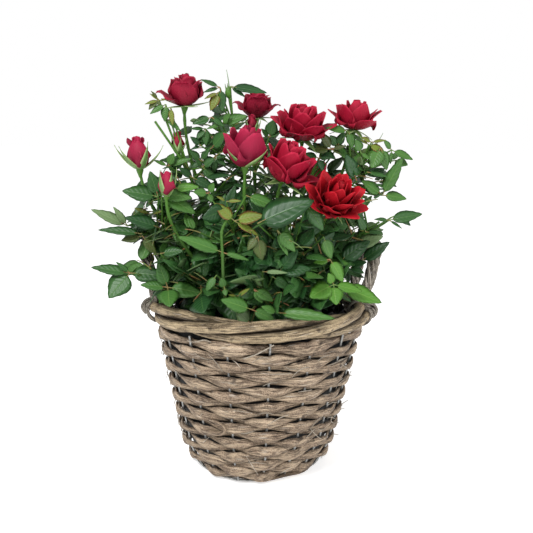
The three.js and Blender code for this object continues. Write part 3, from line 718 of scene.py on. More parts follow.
# ---- Liner ----
# A bag of thin black film inside the wall. It shows in the gaps of the weave, and its crumpled edge
# stands up inside the border.
film = Finish("black_film")
film_crease = film.clouds(130, 4, 0.6)
black_film = film.surface(
    Base_Color=film.ramp(film_crease, (0.35, colour(12, 12, 12)), (0.7, colour(34, 34, 36))),
    Roughness=film_crease * 0.3 + 0.4,
    Specular_IOR_Level=0.2,
    Normal=film.bump(film_crease, 0.6, 0.001))


def solid(name, points, faces, material, slot, nodes=(), **marks):
    """A smooth closed mesh of points in mm, as a finished piece."""
    mesh = bpy.data.meshes.new(name)
    mesh.from_pydata([tuple(p * MM) for p in points], [], faces)
    mesh.polygons.foreach_set("use_smooth", [True] * len(faces))
    mesh.materials.append(material)
    for key, values in marks.items():
        mark(mesh, key, values)
    return part_of_plant(in_scene(name, mesh), slot, nodes)


def polygon(*corners):
    """A face without the corners that fall together."""
    return tuple(dict.fromkeys(corners))


def turned_form(rings, segments, place):
    """The points and faces of a closed turned form, whose first and last rings are poles. place() takes
    a radius, a height and an angle."""
    points = [place(*rings[0], 0.0)]
    points += [place(*ring, s * TURN / segments) for ring in rings[1:-1] for s in range(segments)]
    points.append(place(*rings[-1], 0.0))

    def at(ring, s):
        return min(max(0, 1 + (ring - 1) * segments + s % segments), len(points) - 1)

    return points, [polygon(at(r, s), at(r, s + 1), at(r + 1, s + 1), at(r + 1, s))
                    for r in range(len(rings) - 1) for s in range(segments)]


def corner_cut(height, angle=None):
    """How far the corner of the foot turns in, as in wall_radius(), in mm."""
    worn = 0
    if angle is not None:
        worn = sum(max(0, math.cos(angle - turn)) ** 4 * share for turn, share in CORNER_WORN)
    return CORNER_DEPTH * (1 + 1.1 * worn) * max(0, 1 - height / (CORNER_HEIGHT * (1 + 1.3 * worn)))


def stake_ring(height):
    """The radius of wall_radius() where the corner isn't worn, in mm."""
    return FOOT_RADIUS + WALL_LEAN * height - corner_cut(height)


FILM_HEIGHTS = (5, CORNER_HEIGHT, 30, 50, 70, 90, 106, 112, 117, 122, 127, 131)
FILM_BEHIND, FILM_THICK = 3.6, 0.9
NECK_HEIGHT, NECK_RADIUS = 110, 67.9
film_outside = [(stake_ring(z) - FILM_BEHIND, z) for z in FILM_HEIGHTS]
film_outside = [(min(r, NECK_RADIUS) if z > NECK_HEIGHT else r, z) for r, z in film_outside]
film_inside = [(r - FILM_THICK, z) for r, z in reversed(film_outside)]
film_rings = [(0, 5), *film_outside, (67.4, 132.4), *film_inside[:-1], (film_inside[-1][0], 6.2), (0, 6.2)]


def film_place(radius, height, angle):
    crumple = max(0, math.sin(11 * angle + 1.3) + 0.6 * math.sin(23 * angle + height * 0.2))
    drawn_in = 0.9 * crumple * min(1, height / 60) * (height >= 12)
    raised = 0.0 if height < 120 else (height - 120) / 12 * (1.6 * math.sin(7 * angle) + math.sin(17 * angle))
    cut = corner_cut(height, angle) - corner_cut(height)
    return polar(max(0, radius - drawn_in - cut), angle, height + raised)


solid("liner_bag", *turned_form(film_rings, 128, film_place), black_film, "liner_film", ["liner"])


def patch_mesh(name, patches, thick, material, slot, nodes=()):
    """Thin curved blades as one closed mesh, in mm: each is a grid of points and its grids of marks."""
    points, faces, marks = [], [], {}
    for grid, values in patches:
        rows, columns = grid.shape[:2]
        normal = np.cross(np.gradient(grid, axis=1), np.gradient(grid, axis=0))
        normal /= np.maximum(np.linalg.norm(normal, axis=2, keepdims=True), 1e-9)
        top = len(points)
        under = top + rows * columns
        points += [p for side in (1, -1) for p in (grid + side * (normal * thick / 2)).reshape(-1, 3)]
        for key, value in values.items():
            marks.setdefault(key, []).extend(2 * list(np.broadcast_to(value, (rows, columns)).ravel()))
        at = np.arange(rows * columns).reshape(rows, columns)
        for r, c in np.ndindex(rows - 1, columns - 1):
            corners = (at[r, c], at[r, c + 1], at[r + 1, c + 1], at[r + 1, c])
            faces += [[top + i for i in corners], [under + i for i in reversed(corners)]]
        edge = [*at[0], *at[1:, -1], *at[-1, -2::-1], *at[-2:0:-1, 0]]
        faces += [(top + b, top + a, under + a, under + b) for a, b in zip(edge, [*edge[1:], edge[0]])]
    return solid(name, points, faces, material, slot, nodes, **marks)


# A scrap of the flower seller's film, pushed down between the border and the plant at the right.
SCRAP_MIDDLE, SCRAP_HEIGHT, SCRAP_WIDE, SCRAP_TALL = 0.33, 132, 0.27, 22
scrap_film = Finish("scrap_film")
scrap_crease = scrap_film.clouds(180, 4, 0.6)
grey_film = scrap_film.surface(
    Base_Color=scrap_film.ramp(scrap_crease, (0.35, colour(82, 84, 86)), (0.65, colour(188, 188, 190))),
    Roughness=scrap_crease * 0.2 + 0.2,
    Normal=scrap_film.bump(scrap_crease, 0.8, 0.002))
scrap_across = np.linspace(-1, 1, 13)[None, :]
scrap_up = np.linspace(-1, 1, 11)[:, None]
scrap_angle = SCRAP_MIDDLE + scrap_across * SCRAP_WIDE / 2 + 0.02 * np.sin(5 * scrap_up + 2 * scrap_across)
scrap_radius = 65.5 + 1.6 * np.sin(6 * scrap_across + 2 * scrap_up) + 1.2 * np.sin(7 * scrap_up)
scrap_radius = scrap_radius - 1.6 * scrap_up
scrap_level = SCRAP_HEIGHT + scrap_up * SCRAP_TALL / 2 + 2 * np.sin(4 * scrap_across) + 0 * scrap_angle
scrap_grid = np.stack([scrap_radius * np.cos(scrap_angle), scrap_radius * np.sin(scrap_angle), scrap_level],
                      axis=2)
patch_mesh("film_scrap", [(scrap_grid, {"along": 0.0})], 0.3, grey_film, "liner_film")


# ---- Torn fibres ----
# Fine pale fibres torn from the willow, which lie across the strips or stand off from them.
FIBRES = 90
pale_fibre = willow_finish("pale_fibre", (206, 196, 180), (180, 168, 150), (120, 106, 90), contrast=0.5)
fibre_random = random.Random(12)
fibre_paths = []
for number in range(FIBRES):
    angle, height = fibre_random.uniform(-math.pi, math.pi), fibre_random.uniform(12, 114)
    slope, length = fibre_random.gauss(0, 0.5), fibre_random.uniform(5, 18)
    bow, lifted = fibre_random.uniform(-2, 2), fibre_random.uniform(0, 2.2)
    fibre_line = []
    for step in range(7):
        t = step / 3 - 1
        level = height + t * length / 2 * math.sin(slope) + bow * t * t
        fibre_line.append(polar(stake_ring(level) + 3.2 + lifted * (0.4 + t) ** 2,
                                angle + t * length / 2 * math.cos(slope) / 70, level))
    fibre_paths.append((fibre_line, [0.36 - 0.16 * abs(step - 3) / 3 for step in range(7)], number * 3.7))
# The longest fibres, and a strip that has broken and bends down: degrees, height and how far out, each.
LONG_FIBRES = (
    [(-97.6, 109.6, 3.2), (-91.5, 113.3, 3.8), (-86.7, 117.5, 4.6), (-82.7, 121.7, 5.8)],
    [(-129.1, 117.3, 3.0), (-123.2, 118.3, 3.6), (-117.3, 121.5, 4.2), (-113.9, 120.3, 3.0)],
    [(-168.3, 28.5, 3.0), (-158.9, 31.0, 3.4), (-150.2, 32.3, 3.2)],
)
BROKEN_STRIP = [(-129.0, 43.4, 2.6), (-120.5, 44.4, 3.4), (-113.4, 46.0, 3.8), (-110.3, 49.2, 4.0),
                (-111.2, 52.4, 3.8), (-115.0, 54.4, 3.2), (-121.0, 55.2, 2.6)]


def on_wall(points):
    """A smooth line over the wall, through degrees, heights and how far out each point is."""
    return smooth_path([polar(stake_ring(z) + out, math.radians(turn), z) for turn, z, out in points], 5)


for number, points in enumerate(LONG_FIBRES):
    fibre_line = on_wall(points)
    fibre_paths.append((fibre_line, [0.42] * len(fibre_line), 400.0 + number))
broken_line = on_wall(BROKEN_STRIP)
broken_girth = [2.2 - 1.2 * i / len(broken_line) for i in range(len(broken_line))]
band.make("broken_strip", "weave_willow", mesh=path_mesh([(broken_line, broken_girth, 31.0)]),
          Finish=willow_strip)
band.make("torn_fibres", "weave_willow", mesh=path_mesh(fibre_paths), Finish=pale_fibre)


# ---- Coil of wire ----
# The end of the wire that ties the right handle, wound into a small coil inside it.
COIL_PLACE = Vector((76, -11, 148))
COIL_RADIUS, COIL_TURNS, COIL_PITCH, COIL_STEPS = 3.3, 2.6, 1.3, 52
coil_line = []
for step in range(COIL_STEPS + 1):
    turn = step / COIL_STEPS * COIL_TURNS * TURN
    coil_line.append(COIL_PLACE + Vector((COIL_RADIUS * math.cos(turn), -COIL_PITCH * turn / TURN,
                                          COIL_RADIUS * math.sin(turn))))
coil_tail = [coil_line[0], COIL_PLACE + Vector((4.5, 2, -6)), around_border(math.pi / 2, 9, 0.3)]
coil_line = [*reversed(smooth_path(coil_tail, 8)), *coil_line[1:]]
band.make("wire_coil", "wire", mesh=path_mesh([(coil_line, [0.5] * len(coil_line), 0.0)]), Finish=zinc_wire)


# ---- Soil ----
# Dark potting soil with crumbs of peat on it, filling the liner to about two centimetres below the rim.
SOIL_TOP = 112
SOIL_BOTTOM = 6.6
SOIL_BEHIND = 5.2
CRUMBS_ABOVE = 108 * MM
soil_finish = Finish("potting_soil")
soil_grain = soil_finish.clouds(300, 6, 0.7)
soil_fleck = soil_finish.clouds(900, 2, 0.5)
potting_soil = soil_finish.surface(
    Base_Color=soil_finish.ramp(soil_grain * 0.6 + soil_fleck * 0.4, (0.35, colour(26, 19, 15)),
                                (0.55, colour(58, 44, 34)), (0.72, colour(104, 84, 66))),
    Roughness=0.95,
    Normal=soil_finish.bump(soil_grain, 1.0, 0.002))

soil_wall = [(stake_ring(z) - SOIL_BEHIND, z) for z in (SOIL_BOTTOM, 30, 60, 85, 104)]
soil_top = [(64, 108), (62, 110), (58, 111.2), *[(r, SOIL_TOP) for r in (52, 46, 40, 34, 28, 22, 16, 10, 5)]]


def soil_place(radius, height, angle):
    lump = math.sin(radius * 0.9 + 5 * angle) * math.sin(3 * angle + radius * 0.35) if 0 < radius < 60 else 0
    cut = corner_cut(height, angle) - corner_cut(height) if radius else 0
    return polar(radius - cut, angle, height + (0.5 * lump - 0.5 if height > 110 else 0))


soil_form = turned_form([(0, SOIL_BOTTOM), *soil_wall, *soil_top, (0, SOIL_TOP)], 72, soil_place)
soil_body = solid("soil_fill", *soil_form, potting_soil, "soil", ["soil"])

crumbs = Pattern("crumbs", Seed=int, Density=float, Size=float)
upper = crumbs.add("FunctionNodeCompare", {"data_type": "FLOAT", "operation": "GREATER_THAN"},
                   {0: crumbs.here()[2], 1: CRUMBS_ABOVE})
crumb_spots = crumbs.add("GeometryNodeDistributePointsOnFaces", {"distribute_method": "RANDOM"}, {
    "Mesh": crumbs.given(), "Selection": upper, "Density": crumbs.given("Density"),
    "Seed": crumbs.given("Seed")})
crumb_shape = crumbs.add("GeometryNodeMeshIcoSphere", {}, {"Radius": 1.0, "Subdivisions": 1})
crumb_lump = crumbs.noise(crumbs.add("GeometryNodeInputPosition"), 1.7, 2) - 0.5
crumb_shape = crumbs.swollen(crumb_shape, crumb_lump * 1.1)
crumb_size = crumbs.add("FunctionNodeRandomValue", {"data_type": "FLOAT"},
                        {"Min": 0.35, "Max": 1.0, "Seed": crumbs.given("Seed")}, output=1)
crumb_turn = crumbs.add("FunctionNodeRandomValue", {"data_type": "FLOAT_VECTOR"},
                        {0: (0, 0, 0), 1: (TURN, TURN, TURN), "Seed": crumbs.given("Seed")})
crumb_set = crumbs.add("GeometryNodeInstanceOnPoints", {}, {
    "Points": crumb_spots, "Instance": crumb_shape, "Rotation": crumb_turn,
    "Scale": crumb_size * crumbs.given("Size")})
crumbs.finish(crumb_set, potting_soil)
crumbs.make("soil_crumbs", "soil", ["soil"], soil_body.data.copy(), Seed=7, Density=36000.0, Size=1.7 * MM)


# ---- Canes ----
# Ten green canes that rise from the soil between the shoots, each to its own flower or bud. Their skin
# is finely ribbed, swells at every leaf joint and carries small prickles.
CANE_FOOT = SOIL_TOP + 0.45
CANE_FOOT_RADIUS = 1.9
CANE_NECK_RADIUS = 1.2
GOLDEN_TURN = math.radians(137.5)


def flowering(foot, neck, face, width, height, opened, bud=None):
    return SimpleNamespace(foot=foot, neck=Vector(neck), face=Vector(face).normalized(), width=width,
                           height=height, opened=opened, bud=bud)


def side_bud(start, neck, width, height):
    return SimpleNamespace(start=start, neck=Vector(neck), width=width, height=height)


# Where each cane stands in the soil, where the neck of its flower is and which way the flower faces, and
# the flower's width, height and openness, from 0 for a closed bud to 1. A side bud has a twig of its own,
# from a share of the cane's length to the bud's neck, and its own width and height.
CANES = {
    "left_high": flowering((-17, 9), (-61.5, 11, 287), (0.06, -0.1, 1), 25, 25, 0.3,
                           bud=side_bud(0.55, (-66, 3, 251), 10.5, 17)),
    "centre_back": flowering((-4, 19), (-6, 45.5, 279), (0.02, -0.08, 1), 22, 23, 0.3,
                             bud=side_bud(0.6, (-8.5, 17, 266), 10, 16)),
    "centre_high": flowering((9, 6), (31, 9.5, 264), (0, -0.3, 0.95), 33, 26, 0.6),
    "right_high": flowering((26, 9), (72, 16.5, 271.5), (0.1, -0.12, 1), 28, 23, 0.5),
    "centre_front": flowering((-8, -12), (-12, -37.5, 243.5), (0.06, -0.12, 1), 31, 30, 0.38),
    "front": flowering((7, -19), (15.5, -31, 234.5), (0.25, -0.3, 0.9), 32, 29, 0.6),
    "right_front": flowering((22, -14), (52.5, -41, 216.5), (0.26, -0.56, 0.78), 36, 23, 0.95),
    "back_right": flowering((17, 24), (36, 70, 222), (0.2, 0.5, 0.85), 36, 26, 0.7),
    "left_bud": flowering((-27, -5), (-94, -9, 238.5), (-0.06, -0.06, 1), 19, 25, 0),
    "left_front_bud": flowering((-21, -20), (-69.5, -39.5, 221), (0.05, 0, 1), 12.5, 18, 0),
}

stem_finish = Finish("green_stem")
stem_z = stem_finish.split(stem_finish.place())[2]
stem_rib = stem_finish.noise(stem_finish.vector(
    stem_finish.attribute("along") * 30, stem_finish.attribute("across"), stem_finish.attribute("strip")),
    4, 4, 0.6)
stem_age = ((stem_z - 0.13) * 9.0 + stem_rib * 0.5 - 0.25).at_least(0).at_most(1)
stem_tone = stem_finish.ramp(stem_age, (0.0, colour(84, 76, 44)), (0.3, colour(58, 92, 34)),
                             (0.8, colour(72, 118, 34)))
green_stem = stem_finish.surface(
    Base_Color=stem_finish.mix(stem_rib * 0.5, stem_tone, colour(46, 72, 26)),
    Roughness=stem_rib * 0.2 + 0.42,
    Specular_IOR_Level=0.3,
    Normal=stem_finish.bump(stem_rib, 0.5, 0.0006))


def seeded(state):
    """Numbers from 0 to 1, the same in every run, from a linear congruential generator."""
    while True:
        state = (state * 1664525 + 1013904223) & 0xFFFFFFFF
        yield state / 4294967296


def bezier(*points):
    """A point and a direction at a share of the length of a Bezier line, as one function."""
    degree = len(points) - 1

    def blend(corners, t):
        n = len(corners) - 1
        return sum((math.comb(n, i) * (1 - t) ** (n - i) * t ** i * c for i, c in enumerate(corners)),
                   Vector())

    legs = [(b - a) * degree for a, b in zip(points, points[1:])]
    return lambda t: (blend(points, t), blend(legs, t).normalized())


def limb_path(line, steps, thick, thinner, number):
    """The path of a limb that gets thinner from its foot to its tip."""
    shares = [i / steps for i in range(steps + 1)]
    return [line(t)[0] for t in shares], [thick - thinner * i / steps for i in range(steps + 1)], number


def cane_line(cane):
    foot = Vector((*cane.foot, CANE_FOOT))
    reach = (cane.neck - foot).length
    return bezier(foot, foot + UP * 0.35 * reach, cane.neck - cane.face * 0.35 * reach, cane.neck)


limb = Pattern("limb", Sides=int, Relief=float, Finish=bpy.types.Material)
limb_line, length = limb.given_path()
profile, px, py = limb.profile(limb.given("Sides"))
limb_mesh = limb.sweep(limb_line, profile, limb.named("girth"))
limb_place = limb.vector(px * 2.0, py * 2.0, length * 90 + limb.named("strip"))
limb_mesh = limb.swollen(limb_mesh, (limb.noise(limb_place, 2.0, 3) - 0.5) * limb.given("Relief"))
limb_mesh = limb.stored(limb_mesh, along=length, across=px, strip=limb.named("strip"))
limb.finish(limb_mesh, limb.given("Finish"))

prickles = Pattern("prickles", Density=float, Length=float, Seed=int)
prickle_spots = prickles.add("GeometryNodeDistributePointsOnFaces", {"distribute_method": "RANDOM"}, {
    "Mesh": prickles.given(), "Density": prickles.given("Density"), "Seed": prickles.given("Seed")})
prickle_cone = prickles.add("GeometryNodeMeshCone", {"fill_type": "NGON"},
                            {"Vertices": 5, "Radius Top": 0.02, "Radius Bottom": 0.28, "Depth": 1.0})
prickle_set = prickles.add("GeometryNodeInstanceOnPoints", {}, {
    "Points": prickle_spots, "Instance": prickle_cone, "Rotation": prickle_spots.other("Rotation"),
    "Scale": prickles.given("Length")})
prickles.finish(prickles.joined(prickles.given(), prickle_set), green_stem)

CANE_STEPS = 48
NODE_PITCH = 17.0
for number, (cane_name, cane) in enumerate(CANES.items()):
    line = cane_line(cane)
    stations = [i / CANE_STEPS for i in range(CANE_STEPS + 1)]
    points = [line(t)[0] for t in stations]
    length = sum((b - a).length for a, b in zip(points, points[1:]))
    girths = []
    for t in stations:
        from_joint = ((t * length + 5 * number) / NODE_PITCH + 0.5) % 1 - 0.5
        swelling = 0.28 * math.exp(-(from_joint * NODE_PITCH / 1.6) ** 2)
        girths.append(CANE_FOOT_RADIUS + (CANE_NECK_RADIUS - CANE_FOOT_RADIUS) * t + swelling - 0.1)
    paths = [(points, girths, number * 3.1)]
    if cane.bud:
        start = line(cane.bud.start)[0]
        twig = bezier(start, (start + cane.bud.neck) / 2 + Vector((0, 0, -6)), cane.bud.neck)
        paths.append(limb_path(twig, 16, 0.95, 0.1, number * 5.3))
    bare = limb.make("bare_cane", None, mesh=path_mesh(paths), Sides=10, Relief=0.35 * MM,
                     Finish=green_stem)
    cane.piece = prickles.make(f"rose_cane_{cane_name}", "stem", [f"cane_{cane_name}"], bare.data,
                               Density=2600.0, Length=1.3 * MM, Seed=number)
    bpy.data.objects.remove(bare)


# ---- Hips and sepals ----
# Under every flower and bud a small green hip, and five narrow sepals: thrown back under an open
# flower, and spread from a bud's foot to its tip.
SEPAL_ROWS, SEPAL_COLUMNS = 9, 5
HIP_RINGS = [(0, -7.4), (1.2, -7.2), (1.45, -6.2), (1.85, -4.8), (2.4, -3.4), (2.8, -2), (2.9, -0.8),
             (2.5, 0.4), (0, 0.6)]


def stand(point, face):
    """Moves what is made upright at the origin to a point, facing along a direction."""
    return Matrix.Translation(point) @ UP.rotation_difference(Vector(face).normalized()).to_matrix().to_4x4()


def grid_placed(grid, matrix):
    m = np.array(matrix)
    return grid @ m[:3, :3].T + m[:3, 3]


def turned_grid(out, side, up, turn):
    """A grid of points that are so far out, to the side and up, turned about the axis."""
    return np.stack([out * math.cos(turn) - side * math.sin(turn),
                     out * math.sin(turn) + side * math.cos(turn), up], axis=2)


def sepal_grid(length, width, lift, curl, turn, bend=1.3):
    """A narrow pointed blade that leaves the axis at an angle above level and curls on from there."""
    v = np.linspace(0, 1, SEPAL_ROWS)[:, None]
    u = np.linspace(-1, 1, SEPAL_COLUMNS)[None, :]
    slope = lift + curl * v[:, 0] ** bend
    step = length / (SEPAL_ROWS - 1)
    out = 1.9 + np.concatenate([[0], np.cumsum(np.cos(slope[1:]) * step)])[:, None]
    up = np.concatenate([[0], np.cumsum(np.sin(slope[1:]) * step)])[:, None]
    half = width / 2 * (np.sin(np.pi * np.minimum(1, v * 0.8 + 0.28)) ** 0.9 * (1 - v) ** 0.35 + 0.02)
    side = u * half
    radius = out - 0.45 * u ** 2 * half
    return turned_grid(radius, side, np.broadcast_to(up, side.shape) + 0.15 * u ** 2 * half, turn)


# How the sepals stand: their length, the angle above level that they leave at, how far they curl on from
# there, and how early.
SEPALS = {
    "left_high": (19, 4, 2, 1.3), "centre_back": (17, 10, -30, 1.3), "centre_high": (17, -5, -30, 1.3),
    "right_high": (16, -8, -30, 1.3), "centre_front": (26, 22, 34, 0.7), "front": (22, -12, 10, 1.0),
    "right_front": (16, -10, -30, 1.3), "back_right": (18, 0, -30, 1.3), "left_bud": (25, 16, 46, 0.7),
    "left_front_bud": (20, 18, 78, 0.4),
}
SIDE_BUD_SEPALS = (14, 24, 66, 0.5)
sepal_skin = Finish("sepal")
sepal_edge = sepal_skin.attribute("across")
sepal_tone = sepal_skin.ramp(abs(sepal_edge), (0.35, colour(96, 134, 66)), (0.9, colour(160, 184, 122)))
sepal_cloud = sepal_skin.clouds(220, 3)
sepal_green = sepal_skin.surface(
    Base_Color=sepal_skin.mix(sepal_cloud * 0.6, sepal_tone, colour(70, 100, 48)),
    Roughness=sepal_cloud * 0.2 + 0.42)

sepal_patches, hip_places = [], []
hip_random = random.Random(5)
for cane_name, cane in CANES.items():
    spots = [(cane.neck, cane.face, cane.width, SEPALS[cane_name])]
    if cane.bud:
        spots.append((cane.bud.neck, UP, cane.bud.width, SIDE_BUD_SEPALS))
    for spot, spot_face, width, (length, lift, curl, bend) in spots:
        share = min(1, width / 17)
        hip_places.append((stand(spot, spot_face), share))
        first = 0.3 + 0.06 * hip_random.random()
        for k in range(5):
            blade = sepal_grid(
                length * (0.85 + 0.3 * hip_random.random()), 6.2 * share ** 0.5,
                math.radians(lift + 16 * (hip_random.random() - 0.5)),
                math.radians(curl + 26 * (hip_random.random() - 0.5) * (bend > 0.5)),
                first + k * TURN / 5, bend)
            sepal_patches.append((grid_placed(blade, stand(spot - spot_face * 1.2, spot_face)),
                                  {"across": np.linspace(-1, 1, SEPAL_COLUMNS)[None, :]}))

cane_nodes = [f"cane_{n}" for n in CANES]
patch_mesh("sepals", sepal_patches, 0.45, sepal_green, "stem", cane_nodes)


def turned_at(name, nodes, places, rings, segments):
    """The same turned form of green skin at many places, each given as a matrix and a size, as one piece."""
    points, faces = turned_form(rings, segments, lambda radius, height, angle: polar(radius, angle, height))
    all_points = [p for matrix, share in places for p in grid_placed(np.array(points) * share, matrix)]
    all_faces = [[k * len(points) + i for i in corners] for k in range(len(places)) for corners in faces]
    return solid(name, all_points, all_faces, green_stem, "stem", nodes)


turned_at("hips", cane_nodes, hip_places, HIP_RINGS, 14)


# ---- Flowers and buds ----
# Velvety red petals in a spiral, a golden turn apart: upright and rolled tight at the heart, then wider,
# leaning further out, with their margins rolled back so that each ends in a point.
PETAL_ROWS = 12
PETAL_COLUMNS = 11
PETAL_SAMPLES = 60


def petal_finish(name, *screen_tones):
    light, deep, heart = (colour(*tone) for tone in screen_tones)
    finish = Finish(f"{name}_petal")
    along = finish.attribute("along")
    whorl = finish.attribute("whorl")
    across = finish.attribute("across")
    vein = finish.noise(finish.vector(across * 9, along * 1.2, whorl * 40), 3.0, 3, 0.6)
    cloud = finish.clouds(90, 2)
    tone = finish.ramp(along * 0.75 + vein * 0.35 - 0.12, (0.15, heart), (0.5, deep), (0.9, light))
    centre = ((0.42 - whorl) * 1.6).at_least(0).at_most(1)
    base = finish.mix(centre, tone, heart)
    base = finish.mix((cloud - 0.45).at_least(0) * 1.2, base, deep)
    return finish.surface(
        Base_Color=base,
        Roughness=vein * 0.2 + 0.48,
        Specular_IOR_Level=0.22,
        Sheen_Weight=0.1,
        Sheen_Roughness=0.4,
        Sheen_Tint=(*light, 1),
        Normal=finish.bump(vein, 0.25, 0.0006))


PETAL_TONES = {
    "crimson": ((158, 18, 54), (130, 12, 40), (88, 6, 26)),
    "ruby": ((178, 24, 58), (148, 14, 42), (98, 7, 26)),
    "rose": ((168, 28, 66), (138, 18, 52), (94, 10, 34)),
    "scarlet": ((186, 16, 34), (150, 10, 26), (90, 5, 15)),
}
petal_reds = {name: petal_finish(name, *tones) for name, tones in PETAL_TONES.items()}
# Each flower's red, its number of petals, how pointed they are, and its outer petals that are thrown wide,
# by the turn that each points to and its angle from upright.
FLOWERS = {
    "left_high": ("crimson", 17, 0.5, ((186, 52),)),
    "centre_back": ("crimson", 17, 0.4, ((172, 42), (8, 44))),
    "centre_high": ("ruby", 24, 0.8, ((178, 44), (2, 56), (262, 52))),
    "right_high": ("ruby", 15, 1.0, ((174, 46), (6, 40), (300, 52))),
    "centre_front": ("rose", 13, 1.0, ()),
    "front": ("ruby", 22, 0.8, ((-6, 66), (228, 44))),
    "right_front": ("scarlet", 36, 1.05, ()),
    "back_right": ("ruby", 24, 0.8, ((60, 50), (150, 50))),
    "left_bud": ("rose", 9, 0.4, ()),
    "left_front_bud": ("rose", 8, 0.4, ()),
}


def petal_grid(share, opened, pointed, turn, draw, thrown=0):
    """One petal of unit length, from the heart (share 0) to the outermost (1), with its marks."""
    spread = np.clip((share - 0.3) / 0.7, 0, 1) ** 1.3
    lean = math.radians((thrown or -4 + (6 + 62 * opened ** 1.5) * spread) + 5 * (next(draw) - 0.5))
    flare = math.radians(16 + 66 * share ** 0.6 - (40 if thrown else 0))
    closing = math.radians(12 + (14 if opened else 22) * (1 - opened) + 26 * max(0, 1 - 4 * opened))
    closing = closing * (1 - 0.85 * spread * min(1, 4 * opened))
    folded = max(0, 1 - 10 * abs(opened - 0.3))
    roll = math.radians((22 + 58 * opened + 95 * folded) * share * (1 - 0.6 * pointed)
                        + 14 * (next(draw) - 0.5) * share)
    roll_start = 0.84 - 0.36 * opened * share + 0.06 * folded
    lowered = 0.2 * max(0, 1 - 1.6 * opened) * (opened > 0)
    length = 0.9 + (0.12 - lowered) * share + 0.05 * next(draw)
    half = length * (0.36 + 0.2 * share) * (1 - 0.4 * max(0, opened - 0.7))
    fine = np.linspace(0, 1, PETAL_SAMPLES)
    slope = flare * np.exp(-(fine / 0.27) ** 1.7) + lean - closing * fine ** 2
    slope = slope + roll * np.clip((fine - roll_start) / (1 - roll_start), 0, 1) ** 1.4
    step = length / (PETAL_SAMPLES - 1)
    middle_out = 0.04 + np.concatenate([[0], np.cumsum(np.sin(slope[1:]) * step)])
    middle_up = np.concatenate([[0], np.cumsum(np.cos(slope[1:]) * step)])
    v = np.linspace(0, 1, PETAL_ROWS)[:, None]
    u = np.linspace(-1, 1, PETAL_COLUMNS)[None, :]
    rounded = 0.26 + 0.12 * opened + 0.18 * pointed
    reach = v * (1 - rounded * np.abs(u) ** (2.1 - 0.5 * opened - 0.7 * pointed)
                 + (0.04 + 0.08 * pointed) * (1 - np.abs(u)) ** 2 * v ** 4)
    at_out = np.interp(reach, fine, middle_out)
    at_up = np.interp(reach, fine, middle_up)
    angle = np.interp(reach, fine, slope)
    widen = 0.2 + 0.8 * np.clip(v / 0.6, 0, 1) ** 0.8 - 0.08 * np.clip((v - 0.8) / 0.2, 0, 1) ** 2
    across = np.abs(u) * half * widen
    flat = 0.62 * half * widen
    beyond = np.maximum(across - flat, 0)
    curl_start = np.clip((v - 0.45 + 0.3 * opened) / 0.5, 0, 1)
    curl = (0.35 + 2.3 * opened * share + 0.9 * pointed * share) * curl_start ** 1.5 / (0.38 * half)
    bent = np.where(curl > 1e-4, np.sin(beyond * curl) / np.maximum(curl, 1e-4), beyond)
    raised = np.where(curl > 1e-4, (1 - np.cos(beyond * curl)) / np.maximum(curl, 1e-4), 0)
    side = np.sign(u) * (np.minimum(across, flat) + bent)
    wrap = np.maximum(at_out, 0.06) * (1.0 + 0.25 * share + 0.5 * spread * opened) + 0.06 * spread
    around = np.clip(side / wrap, -2.7, 2.7)
    lateral = wrap * np.sin(around)
    inward = wrap * (1 - np.cos(around))
    ruffle = 0.014 * length * np.sin(2.3 * math.pi * u + 6 * next(draw)) * v ** 2 * (0.3 + opened)
    spiral = 0.05 * u * (1 - 0.5 * share)
    off = raised + ruffle + spiral - inward
    radius = at_out + off * np.cos(angle)
    height = at_up - off * np.sin(angle)
    grid = turned_grid(radius, lateral, height, turn)
    marks = {"along": reach, "across": np.broadcast_to(u, reach.shape), "whorl": np.full(reach.shape, share)}
    return grid, marks


def corolla(width, height, opened, petals, pointed, seed, thrown=()):
    """The petals of one flower, upright at the origin, brought to the flower's own width and height."""
    draw = seeded(seed)
    whorls = [petal_grid(i / (petals - 1), opened, pointed, i * GOLDEN_TURN + 0.3 * next(draw), draw)
              for i in range(petals)]
    every = np.concatenate([grid.reshape(-1, 3) for grid, marks in whorls])
    whorls += [petal_grid(1.0, opened, pointed, math.radians(turn), draw, lean) for turn, lean in thrown]
    wide = width / 2 / np.percentile(np.hypot(every[:, 0], every[:, 1]), 97)
    tall = height / every[:, 2].max()
    return [(grid * (wide, wide, tall), marks) for grid, marks in whorls]


def flower_at(name, blades, home, thick, red, node):
    placed = [(grid_placed(grid, home), marks) for grid, marks in blades]
    patch_mesh(name, placed, thick, petal_reds[red], "petal", [node])


for number, (cane_name, cane) in enumerate(CANES.items()):
    red, petals, pointed, thrown = FLOWERS[cane_name]
    blades = corolla(cane.width, cane.height, cane.opened, petals, pointed, 101 + number, thrown)
    flower_at(f"rose_{cane_name}", blades, stand(cane.neck - cane.face * 0.5, cane.face), 0.32, red,
              f"bloom_{cane_name}" if cane.opened else f"cane_{cane_name}")
    if cane.bud:
        blades = corolla(cane.bud.width * 0.85, cane.bud.height * 0.95, 0, 7, 0.4, 201 + number)
        flower_at(f"side_bud_{cane_name}", blades, stand(cane.bud.neck, UP), 0.3, "crimson",
                  f"cane_{cane_name}")


# ---- Leafy shoots ----
# Fifteen leafy shoots that leave the canes low down. Compound leaves of five toothed leaflets stand a
# golden turn apart along each shoot, its side twigs and the canes, and turn their faces to the light.

